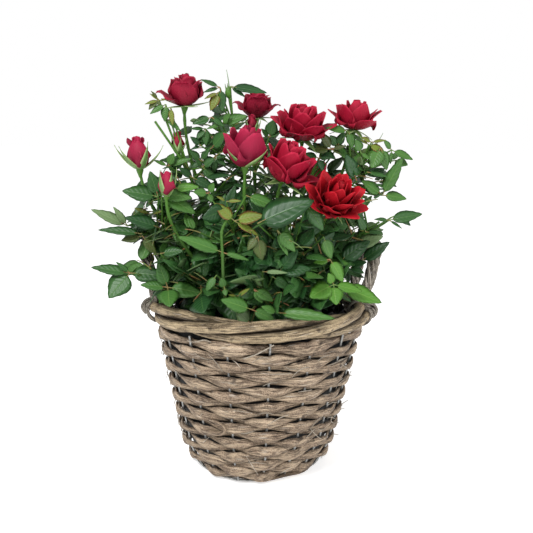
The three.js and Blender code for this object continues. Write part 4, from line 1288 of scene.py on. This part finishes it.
# For each shoot its cane and the share of the cane's length that it leaves at, its tip, the length of its
# leaves, and the length of the green bud on its tip, if any.
SHOOTS = {
    "left_low": ("left_bud", 0.2, (-92, -37, 161), 39, 0),
    "left_middle": ("left_bud", 0.45, (-99, -8, 204), 38, 0),
    "left_upper": ("left_high", 0.45, (-58, 2, 238), 32, 0),
    "front_left_low": ("left_front_bud", 0.25, (-46, -46, 160), 41, 0),
    "front_low": ("front", 0.15, (0, -54, 152), 40, 0),
    "front_right_low": ("right_front", 0.2, (56, -44, 158), 41, 0),
    "right_middle": ("right_high", 0.35, (92, -8, 200), 40, 0),
    "right_upper": ("right_high", 0.6, (85, 10, 254), 34, 10),
    "back_right_low": ("back_right", 0.25, (58, 42, 166), 42, 0),
    "back_low": ("centre_back", 0.25, (0, 56, 166), 42, 0),
    "back_left_low": ("left_high", 0.2, (-62, 38, 168), 42, 0),
    "centre_left_high": ("centre_back", 0.5, (-27.5, 15, 296), 30, 11),
    "centre_upper": ("centre_high", 0.5, (42, 32, 238), 35, 0),
    "centre_middle": ("centre_front", 0.35, (-22, -44, 204), 39, 0),
    "right_front_middle": ("right_front", 0.45, (20, -46, 190), 38, 0),
}
STEM_LEAVES = 12
TWIGS = 5
TWIG_LEAVES = 3
CANE_LEAVES = 11
CANE_LEAF = 36
LEAF_SHARE = 0.8
CROWN_MIDDLE, CROWN_WIDE, CROWN_DEEP = -4, 132, 99
CROWN_SHOULDER, CROWN_TOP, OVER_BORDER, OVER_SOIL, RIM_RADIUS = 215, 313, 139.5, 118, 66.8
STEM_SHOWN = 3.4


def in_crown(p):
    spread = math.hypot((p.x - CROWN_MIDDLE) / CROWN_WIDE, p.y / CROWN_DEEP)
    drawn_in = max(0, (p.z - CROWN_SHOULDER) / (CROWN_TOP - CROWN_SHOULDER))
    lowest = OVER_BORDER if math.hypot(p.x, p.y) > RIM_RADIUS else OVER_SOIL
    return spread < 1 - 0.5 * drawn_in ** 2 and lowest < p.z < CROWN_TOP


# Where the sky shows between the sprays, seen from in front: the middle of each opening in the plane of
# the bush's middle, and its half width and half height.
OPENINGS = [
    (-65, 281, 6, 5), (-49, 282, 6, 5), (-96, 276, 16, 11), (-77, 254, 6, 9), (-23, 287, 9, 4),
    (-122, 216, 16, 6), (-126, 175, 20, 7), (-111, 168, 13, 5), (-115, 123, 16, 8), (106, 213, 17, 4),
    (93, 212, 6, 5), (107, 185, 16, 6), (112, 157, 14, 20), (108, 267, 11, 6), (94, 277, 9, 9),
    (88, 231, 6, 2), (76, 195, 6, 3), (55, 278, 3, 6), (120, 232, 9, 14), (-96, 153, 6, 8),
    (-107, 131, 16, 6), (83, 168, 5, 12), (79, 146, 6, 11), (-91, 146, 4, 8), (-88, 164, 4, 6),
    (92, 142, 6, 10), (69, 127, 8, 9), (-121, 196, 14, 10), (-99, 171, 4, 8), (-88, 209, 7, 3),
    (-62, 232, 5, 3), (-54, 217, 4, 3), (86, 203, 5, 6), (-106, 210, 6, 5), (-89, 211, 7, 4),
    (-41, 230, 5, 3), (9, 299, 6, 6), (-101, 140, 3, 5), (123, 201, 6, 3), (-25, 288, 5, 5),
    (-96, 140, 3, 4),
]


def from_in_front(p):
    """Where a point is seen from in front, in the plane of the bush's middle."""
    eye = Vector(CAMERA_PLACE) / MM
    shrink = eye.y / (eye.y - p.y)
    return eye.x + (p.x - eye.x) * shrink, eye.z + (p.z - eye.z) * shrink


def in_opening(p):
    x, z = from_in_front(p)
    if any(((x - mx) / wide) ** 2 + ((z - mz) / tall) ** 2 < 1 for mx, mz, wide, tall in OPENINGS):
        return True
    return any(p.y < depth and math.hypot(x - mx, z - mz) < reach for mx, mz, depth, reach in faces_shown)


# What a leaflet keeps clear of: every flower and bud, and the hand's room in the handles.
clear_of, faces_shown = [], []
for cane in CANES.values():
    middle = cane.neck + cane.face * cane.height * 0.5
    clear_of.append((middle, max(cane.width, cane.height) * 0.56 + 1))
    if cane.bud:
        clear_of.append((cane.bud.neck + UP * cane.bud.height * 0.5, cane.bud.height * 0.55))
for middle, reach in clear_of:
    faces_shown.append((*from_in_front(middle), middle.y, reach * 0.85))
HAND_SPACE = ((74, 106), (-8, 17), (141, 173))
solid_points, solid_faces = [], []
handles = [o for o in scene.objects if o.name.startswith("rope_handle")]
for piece in [*[cane.piece for cane in CANES.values()], rolled_border, *handles]:
    start = len(solid_points)
    solid_points += [v.co / MM for v in piece.data.vertices]
    solid_faces += [tuple(start + i for i in p.vertices) for p in piece.data.polygons]
limbs_tree = BVHTree.FromPolygons(solid_points, solid_faces)


def is_free(base, tip, normal, size):
    """Whether a leaflet keeps clear of all that it shouldn't touch or hide."""
    across = (tip - base).cross(normal).normalized() * size * 0.22
    middle = (base + tip) / 2
    for p in (tip, middle, middle + across, middle - across):
        if not in_crown(p) or in_opening(p):
            return False
        if any((p - centre).length < radius for centre, radius in clear_of):
            return False
        if all(low < value < high for value, (low, high) in zip((abs(p.x), p.y, p.z), HAND_SPACE)):
            return False
    reach = (tip - base).length
    start = base + (tip - base) * 0.15
    for offset in (Vector(), across, -across):
        if limbs_tree.ray_cast(start + offset, (tip - base).normalized(), reach * 0.8)[0]:
            return False
    return True


def sideways(along, angle):
    across = along.cross(Vector((1, 0, 0)) if abs(along.z) > 0.9 else UP).normalized()
    return Matrix.Rotation(angle, 3, along) @ across


leaflets, stalk_paths, stem_paths = [], [], []
PAIRS = ((0.45, 0.58), (0.76, 0.68))
RACHIS = 0.55
TERMINAL = 0.76


def add_leaf(spot, along, face, size, tint):
    """A compound leaf on its stalk: two pairs of leaflets and one at the tip."""
    normal = (face - along * face.dot(along)).normalized()
    side = normal.cross(along)
    reach = RACHIS * size
    sag = Vector((0, 0, -0.16 * reach))
    own = random.Random(int(1e6 * (spot.x * 1.3 + spot.y * 2.1 + spot.z)) & 0xFFFFFFF)

    def at(t):
        return spot + along * reach * t + sag * t * t

    blades = [(at(1.0) + along * 1.0, (along + sag * 0.012).normalized(), TERMINAL * size)]
    for share, part in PAIRS:
        for hand in (-1, 1):
            swing = math.radians(own.uniform(50, 70))
            way = along * math.cos(swing) + side * hand * math.sin(swing) + UP * own.uniform(-0.15, 0.1)
            length = part * size * own.uniform(0.9, 1.06)
            blades.append((at(share) + side * hand * 1.2, way.normalized(), length))
    kept = []
    for base, way, length in blades:
        facing = normal + Vector((own.uniform(-1, 1), own.uniform(-1, 1), own.uniform(-0.4, 0.4))) * 0.25
        facing = (facing - way * facing.dot(way)).normalized()
        if is_free(base, base + way * length, facing, length):
            kept.append((base, way, facing, length, tint, own.randrange(4)))
    if kept:
        leaflets.extend(kept)
        reached = 1.0 if len(kept) > 1 else 0.9
        line = [at(i / 6 * reached) for i in range(7)]
        stalk_paths.append((line, [0.62 - 0.3 * i / 6 for i in range(7)], own.random() * 9))


TINT_LIMITS = (("dark", 0.47), ("deep", 0.76), ("mid", 1.0), ("fresh", 1.07), ("young", 9))
SHAPES = "abcde"


def tint_of(spot, chance):
    """Leaves low and inside the bush get the darker greens, as painted shade, and the tips of the shoots are
    fresh or still bronze.
    """
    height = (spot.z - 130) / 170
    outside = math.hypot(spot.x, spot.y) / 120
    # Painted shade: the lower and further in a leaf is, the darker its green; high and outside, the tips are
    # fresh or young.
    light_and_youth = height * 0.45 + outside * 0.2 + chance * 0.62
    return next(tint for tint, most in TINT_LIMITS if light_and_youth < most)


def leaf_at(line, share, turn, leaf, draw, chance, lit_as=None, spread=1):
    """A leaf on a limb, with the tint of its own spot or of another one."""
    spot, along = line(share)
    tint = tint_of(spot if lit_as is None else lit_as, chance.random())
    heading = (sideways(along, turn) * spread + along * (1.2 - spread)).normalized()
    size = leaf * LEAF_SHARE * (1 + 0.3 * next(draw)) * (1 - 0.3 * share)
    along = Vector((heading.x, heading.y, heading.z * 0.6 + 0.08)).normalized()
    outward = Vector((spot.x, spot.y, 0)).normalized()
    lean = Vector((next(draw) - 0.5, next(draw) - 0.5, 0)) * 1.1
    lit_side = Vector((0, -0.55 if spot.y < 25 else 0, 0))
    add_leaf(spot, along, UP * 0.9 + outward * 0.5 + lit_side + lean, size, tint)


# The stems that show in front of the leaves: the upper part of each cane, and one young shoot in front.
YOUNG_SHOOT = [(-21, -40, 120), (-24, -54, 142), (-26, -60, 161), (-27, -58, 180), (-28, -54, 196),
               (-25, -50, 204)]
young_shoot = smooth_path([Vector(p) for p in YOUNG_SHOOT], 8)
shown = [cane_line(cane)(0.6 + 0.04 * step)[0] for cane in CANES.values() for step in range(11)]
for p in shown + young_shoot[8:]:
    faces_shown.append((*from_in_front(p), p.y, STEM_SHOWN))
young_girths = [1.35 - 0.35 * i / len(young_shoot) + 0.45 * (i % 8 == 0) for i in range(len(young_shoot))]
stem_paths.append((young_shoot, young_girths, 5.5))
CUT_STEM = [(-59, -2, 239), (-71, -2, 257), (-83, -2, 274)]
stem_paths.append((smooth_path([Vector(p) for p in CUT_STEM], 4), [0.95] * 9, 2.5))

shoot_lines = {}
for shoot_name, (cane_name, share, tip, _, _) in SHOOTS.items():
    start, end = cane_line(CANES[cane_name])(share)[0], Vector(tip)
    knee = (start + end) / 2 - Vector((0, 0, 0.12 * (end - start).length))
    shoot_lines[shoot_name] = bezier(start, knee, end)

# Sprays that stand out of the crowd: the limb that each springs from and the share of its length, the
# joint of its leaflets, their tint, and for each its shape and where its tip is, in x and z. A tip stands
# a little in front of its joint, unless its y is given as well.
TIP_FORWARD = 3
SPRAYS = """
left_upper 0.6 -80 2 290 young: c -91 287, c -87 295, c -73 291
left_upper 0.7 -75 0 287 mid: a -87 280, b -75 274
left_upper 0.8 -75 0 277 mid: c -63 267
left_upper 0.75 -71 -2 285 young: c -69 271
centre_left_high 0.8 -34 12 301 deep: c -49 307, c -47 297, a -32 282
centre_left_high 0.75 -35 10 297 young: b -41 283, c -46 292
centre_left_high 0.85 -26 14 302 dark: c 3 298, c -14 294
centre_left_high 0.6 -40 8 278 deep: b -55 273, a -30 271
centre_left_high 0.55 -32 8 273 mid: d -26 2 281, c -44 269, b -13 281
centre_left_high 0.5 -40 5 254 deep: d -29 -3 267, c -46 251
left_upper 0.9 -73 -4 240 mid: d -68 250, c -54 247, c -84 245
left_upper 1 -46 -6 240 deep: b -35 230, b -51 246, d -37 247
left_middle 0.6 -78 -22 218 deep: b -105 223, b -84 237
left_middle 0.5 -66 -30 225 fresh: a -46 227
left_middle 0.5 -74 -32 221 mid: a -48 207, b -51 220
left_upper 0.8 -53 -12 232 dark: b -63 240, b -36 225
centre_middle 0.9 -39 -34 222 mid: d -35 230, d -50 224, d -36 216
right_upper 0.45 95 2 220 mid: b 114 219, c 109 250, b 78 232
right_upper 0.5 100 4 225 deep: c 89 229
right_middle 0.7 99 -12 202 deep: a 124 208, c 87 203, e 109 196
right_middle 0.6 81 -16 193 deep: b 74 206, c 94 193
right_middle 0.4 73 -18 182 pale: b 93 192
right_middle 0.35 68 -22 167 dark: b 81 172, b 80 163
right_middle 0.35 60 -30 172 dark: b 81 190
right_middle 0.4 77 -22 171 dark: a 98 187
right_upper 0.9 102 10 255 mid: b 95 263, a 119 248, c 101 244
right_upper 0.8 92 2 257 mid: d 84 -6 242, b 98 240
right_upper 0.6 82 0 238 deep: c 98 235
right_upper 0.7 76 -4 253 mid: d 72 263, a 83 248
right_upper 0.75 83 4 259 young: b 96 254, c 76 263
right_upper 0.6 67 6 269 mid: b 71 256, a 49 272
centre_upper 0.9 54 4 255 olive: b 35 256, b 45 268, a 65 258, c 62 251
right_upper 0.45 73 -10 232 dark: b 64 252
left_middle 0.9 -102 -20 195 pale: c -129 208, c -112 210
left_middle 0.7 -90 -26 190 deep: e -123 194
left_middle 0.7 -90 -24 188 olive: b -106 185, a -79 174
left_low 0.5 -84 -14 175 young: b -89 161
left_middle 0.75 -85 -16 204 young: c -97 209, c -75 207
left_middle 0.6 -76 -28 195 dark: a -102 204
left_low 0.8 -98 -34 161 deep: c -127 166, d -113 -46 145, c -108 170, b -71 161
left_low 0.5 -68 -46 153 mid: a -88 156, d -65 -66 144, b -42 151, b -75 172
centre_middle 0.4 -27 -58 182 mid: c -59 194, e -7 177
front_left_low 0.6 -73 -50 179 deep: b -56 183
front_low 0.4 -31 -62 166 mid: a -39 154
front_low 0.4 -25 -64 157 mid: d -27 165, d -24 152
centre_middle 0.95 -19 -50 204 young: b -33 217, b 2 210, c -1 194
centre_middle 0.95 -25 -50 218 young: c -14 219, c -32 222
centre_middle 1 -11 -44 222 mid: a 13 214
right_front_middle 0.8 -2 -62 204 dark: b 36 224
right_front_middle 0.7 32 -56 218 deep: b 46 200
right_front_middle 0.7 12 -60 199 mid: b 26 185, c 20 181
centre_middle 0.5 -2 -62 195 olive: b 2 177, b -9 185
right_front_middle 0.5 51 -50 177 fresh: b 62 161, b 39 175
right_front_middle 0.5 46 -46 193 mid: b 53 177
front_right_low 0.8 54 -54 159 fresh: d 36 -63 152, d 55 -66 147, d 50 168, a 75 155
front_right_low 0.9 61 -46 156 fresh: a 91 145
front_low 0.95 13 -77 143 mid: e 53 -87 142, b 2 148
front_low 0.9 -5 -70 143 mid: b 12 137, b -27 151
front_low 0.9 -6 -68 132 pale: d -16 144
front_low 0.7 -4 -66 157 mid: b 3 148, b 11 150
front_low 0.7 9 -58 165 deep: b 23 157
front_low 0.7 -16 -64 151 young: c -7 158, c -22 153
front_low 0.6 2 -66 170 pale: e 20 170
right_front_middle 0.4 14 -56 168 dark: b 37 173, b 26 186
centre_left_high 0.35 -48 4 244 deep: b -57 253, b -42 254, d -36 245, b -56 238
centre_left_high 0.3 5 14 263 deep: d 9 277, b -1 270, b 14 269
centre_upper 0.8 59 8 257 deep: d 53 266, b 63 269
centre_upper 0.6 44 2 248 dark: b 33 252, b 53 249, b 48 238
centre_left_high 0.45 -39 10 263 deep: b -52 260, b -45 256
right_upper 0.75 85 4 261 young: c 96 263, b 77 265
centre_left_high 0.55 -45 8 269 deep: c -57 269, b -52 261, b -44 256
centre_left_high 0.4 -37 2 247 deep: b -28 242, b -37 236, b -28 249
centre_middle 0.9 5 -20 223 dark: b 13 228, b -3 227, b 8 216
right_front_middle 0.8 22 -20 222 deep: b 15 227, b 31 225
centre_upper 0.3 -5 0 237 dark: b -11 241, b 2 232
centre_upper 0.7 47 6 254 dark: b 39 260, b 58 248, b 46 261
left_upper 0.55 -81 2 291 olive: c -86 297, c -79 283, b -88 283
centre_left_high 0.5 -48 4 256 dark: b -56 263, c -56 253
"""
for spray in SPRAYS.strip().splitlines():
    limb_words, tips = spray.split(": ")
    limb_name, share, *joint, tint = limb_words.split()
    share = float(share)
    joint = Vector([float(n) for n in joint])
    root = shoot_lines[limb_name](share)[0]
    twig = bezier(root, (root + joint) / 2 + Vector((0, 0, -0.1 * (joint - root).length)), joint)
    stem_paths.append(limb_path(twig, 8, 0.85, 0.25, share * 9))
    for tip_words in tips.split(", "):
        shape, x, *depth, z = tip_words.split()
        tip = Vector((float(x), float(depth[0]) if depth else joint.y - TIP_FORWARD, float(z)))
        reach = tip - joint
        way = reach.normalized()
        base = joint + way * min(2.5, reach.length * 0.12)
        facing = Vector((0, -0.85, 0.75)) if joint.y < 25 else UP
        facing = (facing - way * facing.dot(way)).normalized()
        length = (tip - base).length
        leaflets.append((base, way, facing, length, tint, SHAPES.index(shape)))
        stalk_paths.append(([joint, (joint + base) / 2, base + way * length * 0.1], [0.5, 0.45, 0.3], length))
        faces_shown.append((*from_in_front(base + way * length * 0.5), joint.y, length * 0.36))

for index, (shoot_name, (*_, leaf, bud_length)) in enumerate(SHOOTS.items()):
    draw = seeded(index * 7919 + 17)
    chance = random.Random(index)
    line = shoot_lines[shoot_name]
    for i in range(STEM_LEAVES):
        share = 0.12 + 0.82 * i / STEM_LEAVES
        leaf_at(line, share, i * GOLDEN_TURN + next(draw), leaf, draw, chance)
    if not bud_length:
        leaf_at(line, 1, 0, leaf, draw, chance, spread=0.1)
    stem_paths.append(limb_path(line, 20, 1.25, 0.4, index * 1.9))
    for k in range(TWIGS):
        share = 0.3 + 0.55 * k / (TWIGS - 1)
        root, along = line(share)
        out = sideways(along, k * GOLDEN_TURN + 1 + next(draw)) + along * 0.5
        out.z = 0.6 * abs(out.z) + 0.3
        tip = root + out.normalized() * (20 + 12 * next(draw))
        twig = bezier(root, (root + tip) / 2 + Vector((0, 0, -1.5)), tip)
        for i in range(TWIG_LEAVES):
            leaf_at(twig, 0.35 + 0.6 * i / TWIG_LEAVES, i * GOLDEN_TURN + next(draw), leaf, draw,
                    chance, lit_as=tip)
        leaf_at(twig, 1, 0, leaf, draw, chance, lit_as=tip, spread=0.1)
        if in_crown(tip) and not in_opening(tip):
            stem_paths.append(limb_path(twig, 8, 0.9, 0.25, k * 3.3))
for number, cane in enumerate(CANES.values()):
    draw = seeded(number * 104729 + 5)
    chance = random.Random(100 + number)
    line = cane_line(cane)
    for i in range(CANE_LEAVES):
        share = 0.3 + 0.62 * i / CANE_LEAVES
        leaf_at(line, share, i * GOLDEN_TURN + 2 * next(draw), CANE_LEAF, draw, chance)

foliage_nodes = [f"foliage_{name}" for name in SHOOTS]
stalk_finish = Finish("leaf_stalk")
stalk_vein = stalk_finish.clouds(160, 2)
leaf_stalk = stalk_finish.surface(
    Base_Color=stalk_finish.ramp(stalk_vein, (0.35, colour(88, 122, 54)), (0.66, colour(140, 96, 62))),
    Roughness=stalk_vein * 0.2 + 0.4)
tip_hips, tip_sepals = [], []
for shoot_name, (*_, bud_length) in SHOOTS.items():
    if bud_length:
        home = stand(*shoot_lines[shoot_name](1))
        tip_hips.append((home, 0.8))
        for k in range(5):
            long = bud_length * (1.7 if k == 0 else 0.75)
            blade = sepal_grid(long, 3.0, math.radians(84), math.radians(10), k * TURN / 5)
            tip_sepals.append((grid_placed(blade * (0.75, 0.75, 1), home), {"across": 0.0}))
patch_mesh("green_buds", tip_sepals, 0.4, sepal_green, "stem", foliage_nodes)
BUD_RINGS = [(0, -4), (1.3, -3.8), (2.4, -2.6), (3, -1), (3.3, 0.8), (3.1, 2.6), (2.2, 4.4), (1, 6), (0, 7)]
turned_at("green_bud_hips", foliage_nodes, tip_hips, BUD_RINGS, 12)
limb.make("shoot_stems", "stem", foliage_nodes, path_mesh(stem_paths), Sides=7, Relief=0.2 * MM,
          Finish=green_stem)
limb.make("leaf_stalks", "leaf", foliage_nodes, path_mesh(stalk_paths), Sides=5, Relief=0.1 * MM,
          Finish=leaf_stalk)

LEAF_STATIONS = 10
# A station of a leaflet has five points on top and one below. Each band runs between two of them, on top
# (0) or on the underside (1).
LEAF_BANDS = ((0, 1, 0), (1, 2, 0), (2, 3, 0), (3, 4, 0), (5, 0, 1), (4, 5, 1))
leaf_shapes = bpy.data.collections.new("leaf_shapes")


def leaf_shape(name, slim, fold, arch, wave, skew):
    """A toothed leaflet of unit length along X, facing Z: two thin halves folded along the midrib."""
    thick = 0.016
    points, marks = [(0, 0, 0)], [(0, 0)]
    for i in range(1, LEAF_STATIONS):
        s = i / LEAF_STATIONS
        half = slim / 2 * math.sin(math.pi * s ** 0.76) ** 0.85 * (1.12 - 0.25 * s)
        tooth = 0.006 if i % 2 else -0.004
        drop = -arch * s * s
        for across in (-1, -0.5, 0, 0.5, 1):
            width = abs(across) * half + (tooth if abs(across) == 1 else 0)
            lift = fold * abs(across) * half + wave * math.sin(7 * s + 2 * across) * across * across * half
            forward = 0.012 if abs(across) == 1 and i % 2 else 0
            points.append((s + forward, math.copysign(width, across) + skew * s * s, drop + lift))
            marks.append((s, across))
        points.append((s, skew * s * s, drop - thick))
        marks.append((s, 0))
    points.append((1, skew, -arch))
    marks.append((1, 0))
    faces, under = [], []

    def at(i, k):
        return min(max(0, 6 * i - 5 + k), len(points) - 1)

    for i in range(LEAF_STATIONS):
        for k, beside, turned_under in LEAF_BANDS:
            faces.append(polygon(at(i, k), at(i + 1, k), at(i + 1, beside), at(i, beside)))
            under.append(turned_under)
    mesh = bpy.data.meshes.new(name)
    mesh.from_pydata(points, [], faces)
    mark(mesh, "under", under, domain="FACE")
    mark(mesh, "along", [m[0] for m in marks])
    mark(mesh, "across", [m[1] for m in marks])
    leaf_shapes.objects.link(bpy.data.objects.new(name, mesh))


for shape in (("leaf_a", 0.48, 0.14, 0.06, 0.015, 0.02), ("leaf_b", 0.6, 0.08, 0.1, 0.02, -0.03),
              ("leaf_c", 0.34, 0.2, 0.04, 0.01, 0.0), ("leaf_d", 0.84, 0.05, 0.08, 0.02, 0.03),
              ("leaf_e", 0.25, 0.3, 0.05, 0.01, 0.02)):
    leaf_shape(*shape)


def leaf_finish(name, *screen_tones, gloss, bronze=0.0):
    top, dark, rib, back = (colour(*tone) for tone in screen_tones)
    finish = Finish(f"{name}_leaf")
    under = finish.attribute("under")
    along = finish.attribute("along")
    across = finish.attribute("across")
    spread = abs(across)
    vein = ((along - spread * 0.22) * 44).sin()
    vein_line = (vein - 0.72).at_least(0) * 2.4
    midrib = (1 - spread * 14).at_least(0)
    patch = finish.clouds(28, 2, 0.5)
    mottle = finish.clouds(260, 2, 0.5)
    face = finish.mix(patch * 1.3 - 0.15, dark, top)
    face = finish.mix((vein_line * 0.16 + midrib * 0.6).at_most(1), face, rib)
    face = finish.mix((spread - 0.6).at_least(0) * (2.4 * bronze), face, colour(128, 66, 48))
    return finish.surface(
        Base_Color=finish.mix(under, face, back),
        Roughness=mottle * 0.16 + under * 0.2 + gloss,
        Specular_IOR_Level=0.3,
        Normal=finish.bump(vein * 0.35 - midrib + mottle * 0.2, 0.3, 0.0005))


# The dark and deep greens are also dealt by tint_of() as painted shade to the leaves low and inside the bush.
# The face, its dark patches, its ribs and its back, and how matt each leaf is.
LEAF_TONES = {
    "dark": ((40, 80, 38), (24, 52, 28), (66, 104, 52), (76, 102, 62), 0.27),
    "deep": ((56, 98, 44), (36, 70, 35), (84, 122, 60), (90, 116, 70), 0.29),
    "mid": ((74, 116, 49), (50, 90, 40), (102, 138, 66), (102, 126, 76), 0.31),
    "fresh": ((82, 130, 42), (62, 108, 36), (112, 150, 66), (104, 130, 70), 0.33),
    "young": ((108, 134, 46), (92, 96, 40), (134, 110, 56), (112, 122, 68), 0.34),
    "olive": ((78, 96, 44), (58, 70, 36), (108, 86, 54), (96, 108, 72), 0.31),
    "pale": ((112, 136, 92), (90, 114, 72), (132, 152, 110), (120, 140, 102), 0.36),
}
leaf_greens = {tint: leaf_finish(tint, *tones, gloss=gloss, bronze=0.9 if tint == "young" else 0.0)
               for tint, (*tones, gloss) in LEAF_TONES.items()}

foliage = Pattern("foliage", Shapes=bpy.types.Collection, Finish=bpy.types.Material)
shapes = foliage.add("GeometryNodeCollectionInfo", {}, {
    "Collection": foliage.given("Shapes"), "Separate Children": True, "Reset Children": True})
leaf_turn = foliage.add("FunctionNodeAxesToRotation", {"primary_axis": "Z", "secondary_axis": "X"}, {
    "Primary Axis": foliage.named("facing", "FLOAT_VECTOR"),
    "Secondary Axis": foliage.named("heading", "FLOAT_VECTOR")})
leaf_set = foliage.add("GeometryNodeInstanceOnPoints", {}, {
    "Points": foliage.given(), "Instance": shapes, "Pick Instance": True,
    "Instance Index": foliage.named("shape", "INT"), "Rotation": leaf_turn, "Scale": foliage.named("size")})
foliage.finish(leaf_set, foliage.given("Finish"))

for tint, green in leaf_greens.items():
    own = [blade for blade in leaflets if blade[4] == tint]
    mesh = bpy.data.meshes.new("leaf_spots")
    mesh.from_pydata([tuple(blade[0] * MM) for blade in own], [], [])
    mark(mesh, "heading", [c for blade in own for c in blade[1]], "FLOAT_VECTOR")
    mark(mesh, "facing", [c for blade in own for c in blade[2]], "FLOAT_VECTOR")
    mark(mesh, "size", [blade[3] * MM for blade in own])
    mark(mesh, "shape", [blade[5] for blade in own], "INT")
    foliage.make(f"leaves_{tint}", "leaf", foliage_nodes, mesh, Shapes=leaf_shapes, Finish=green)
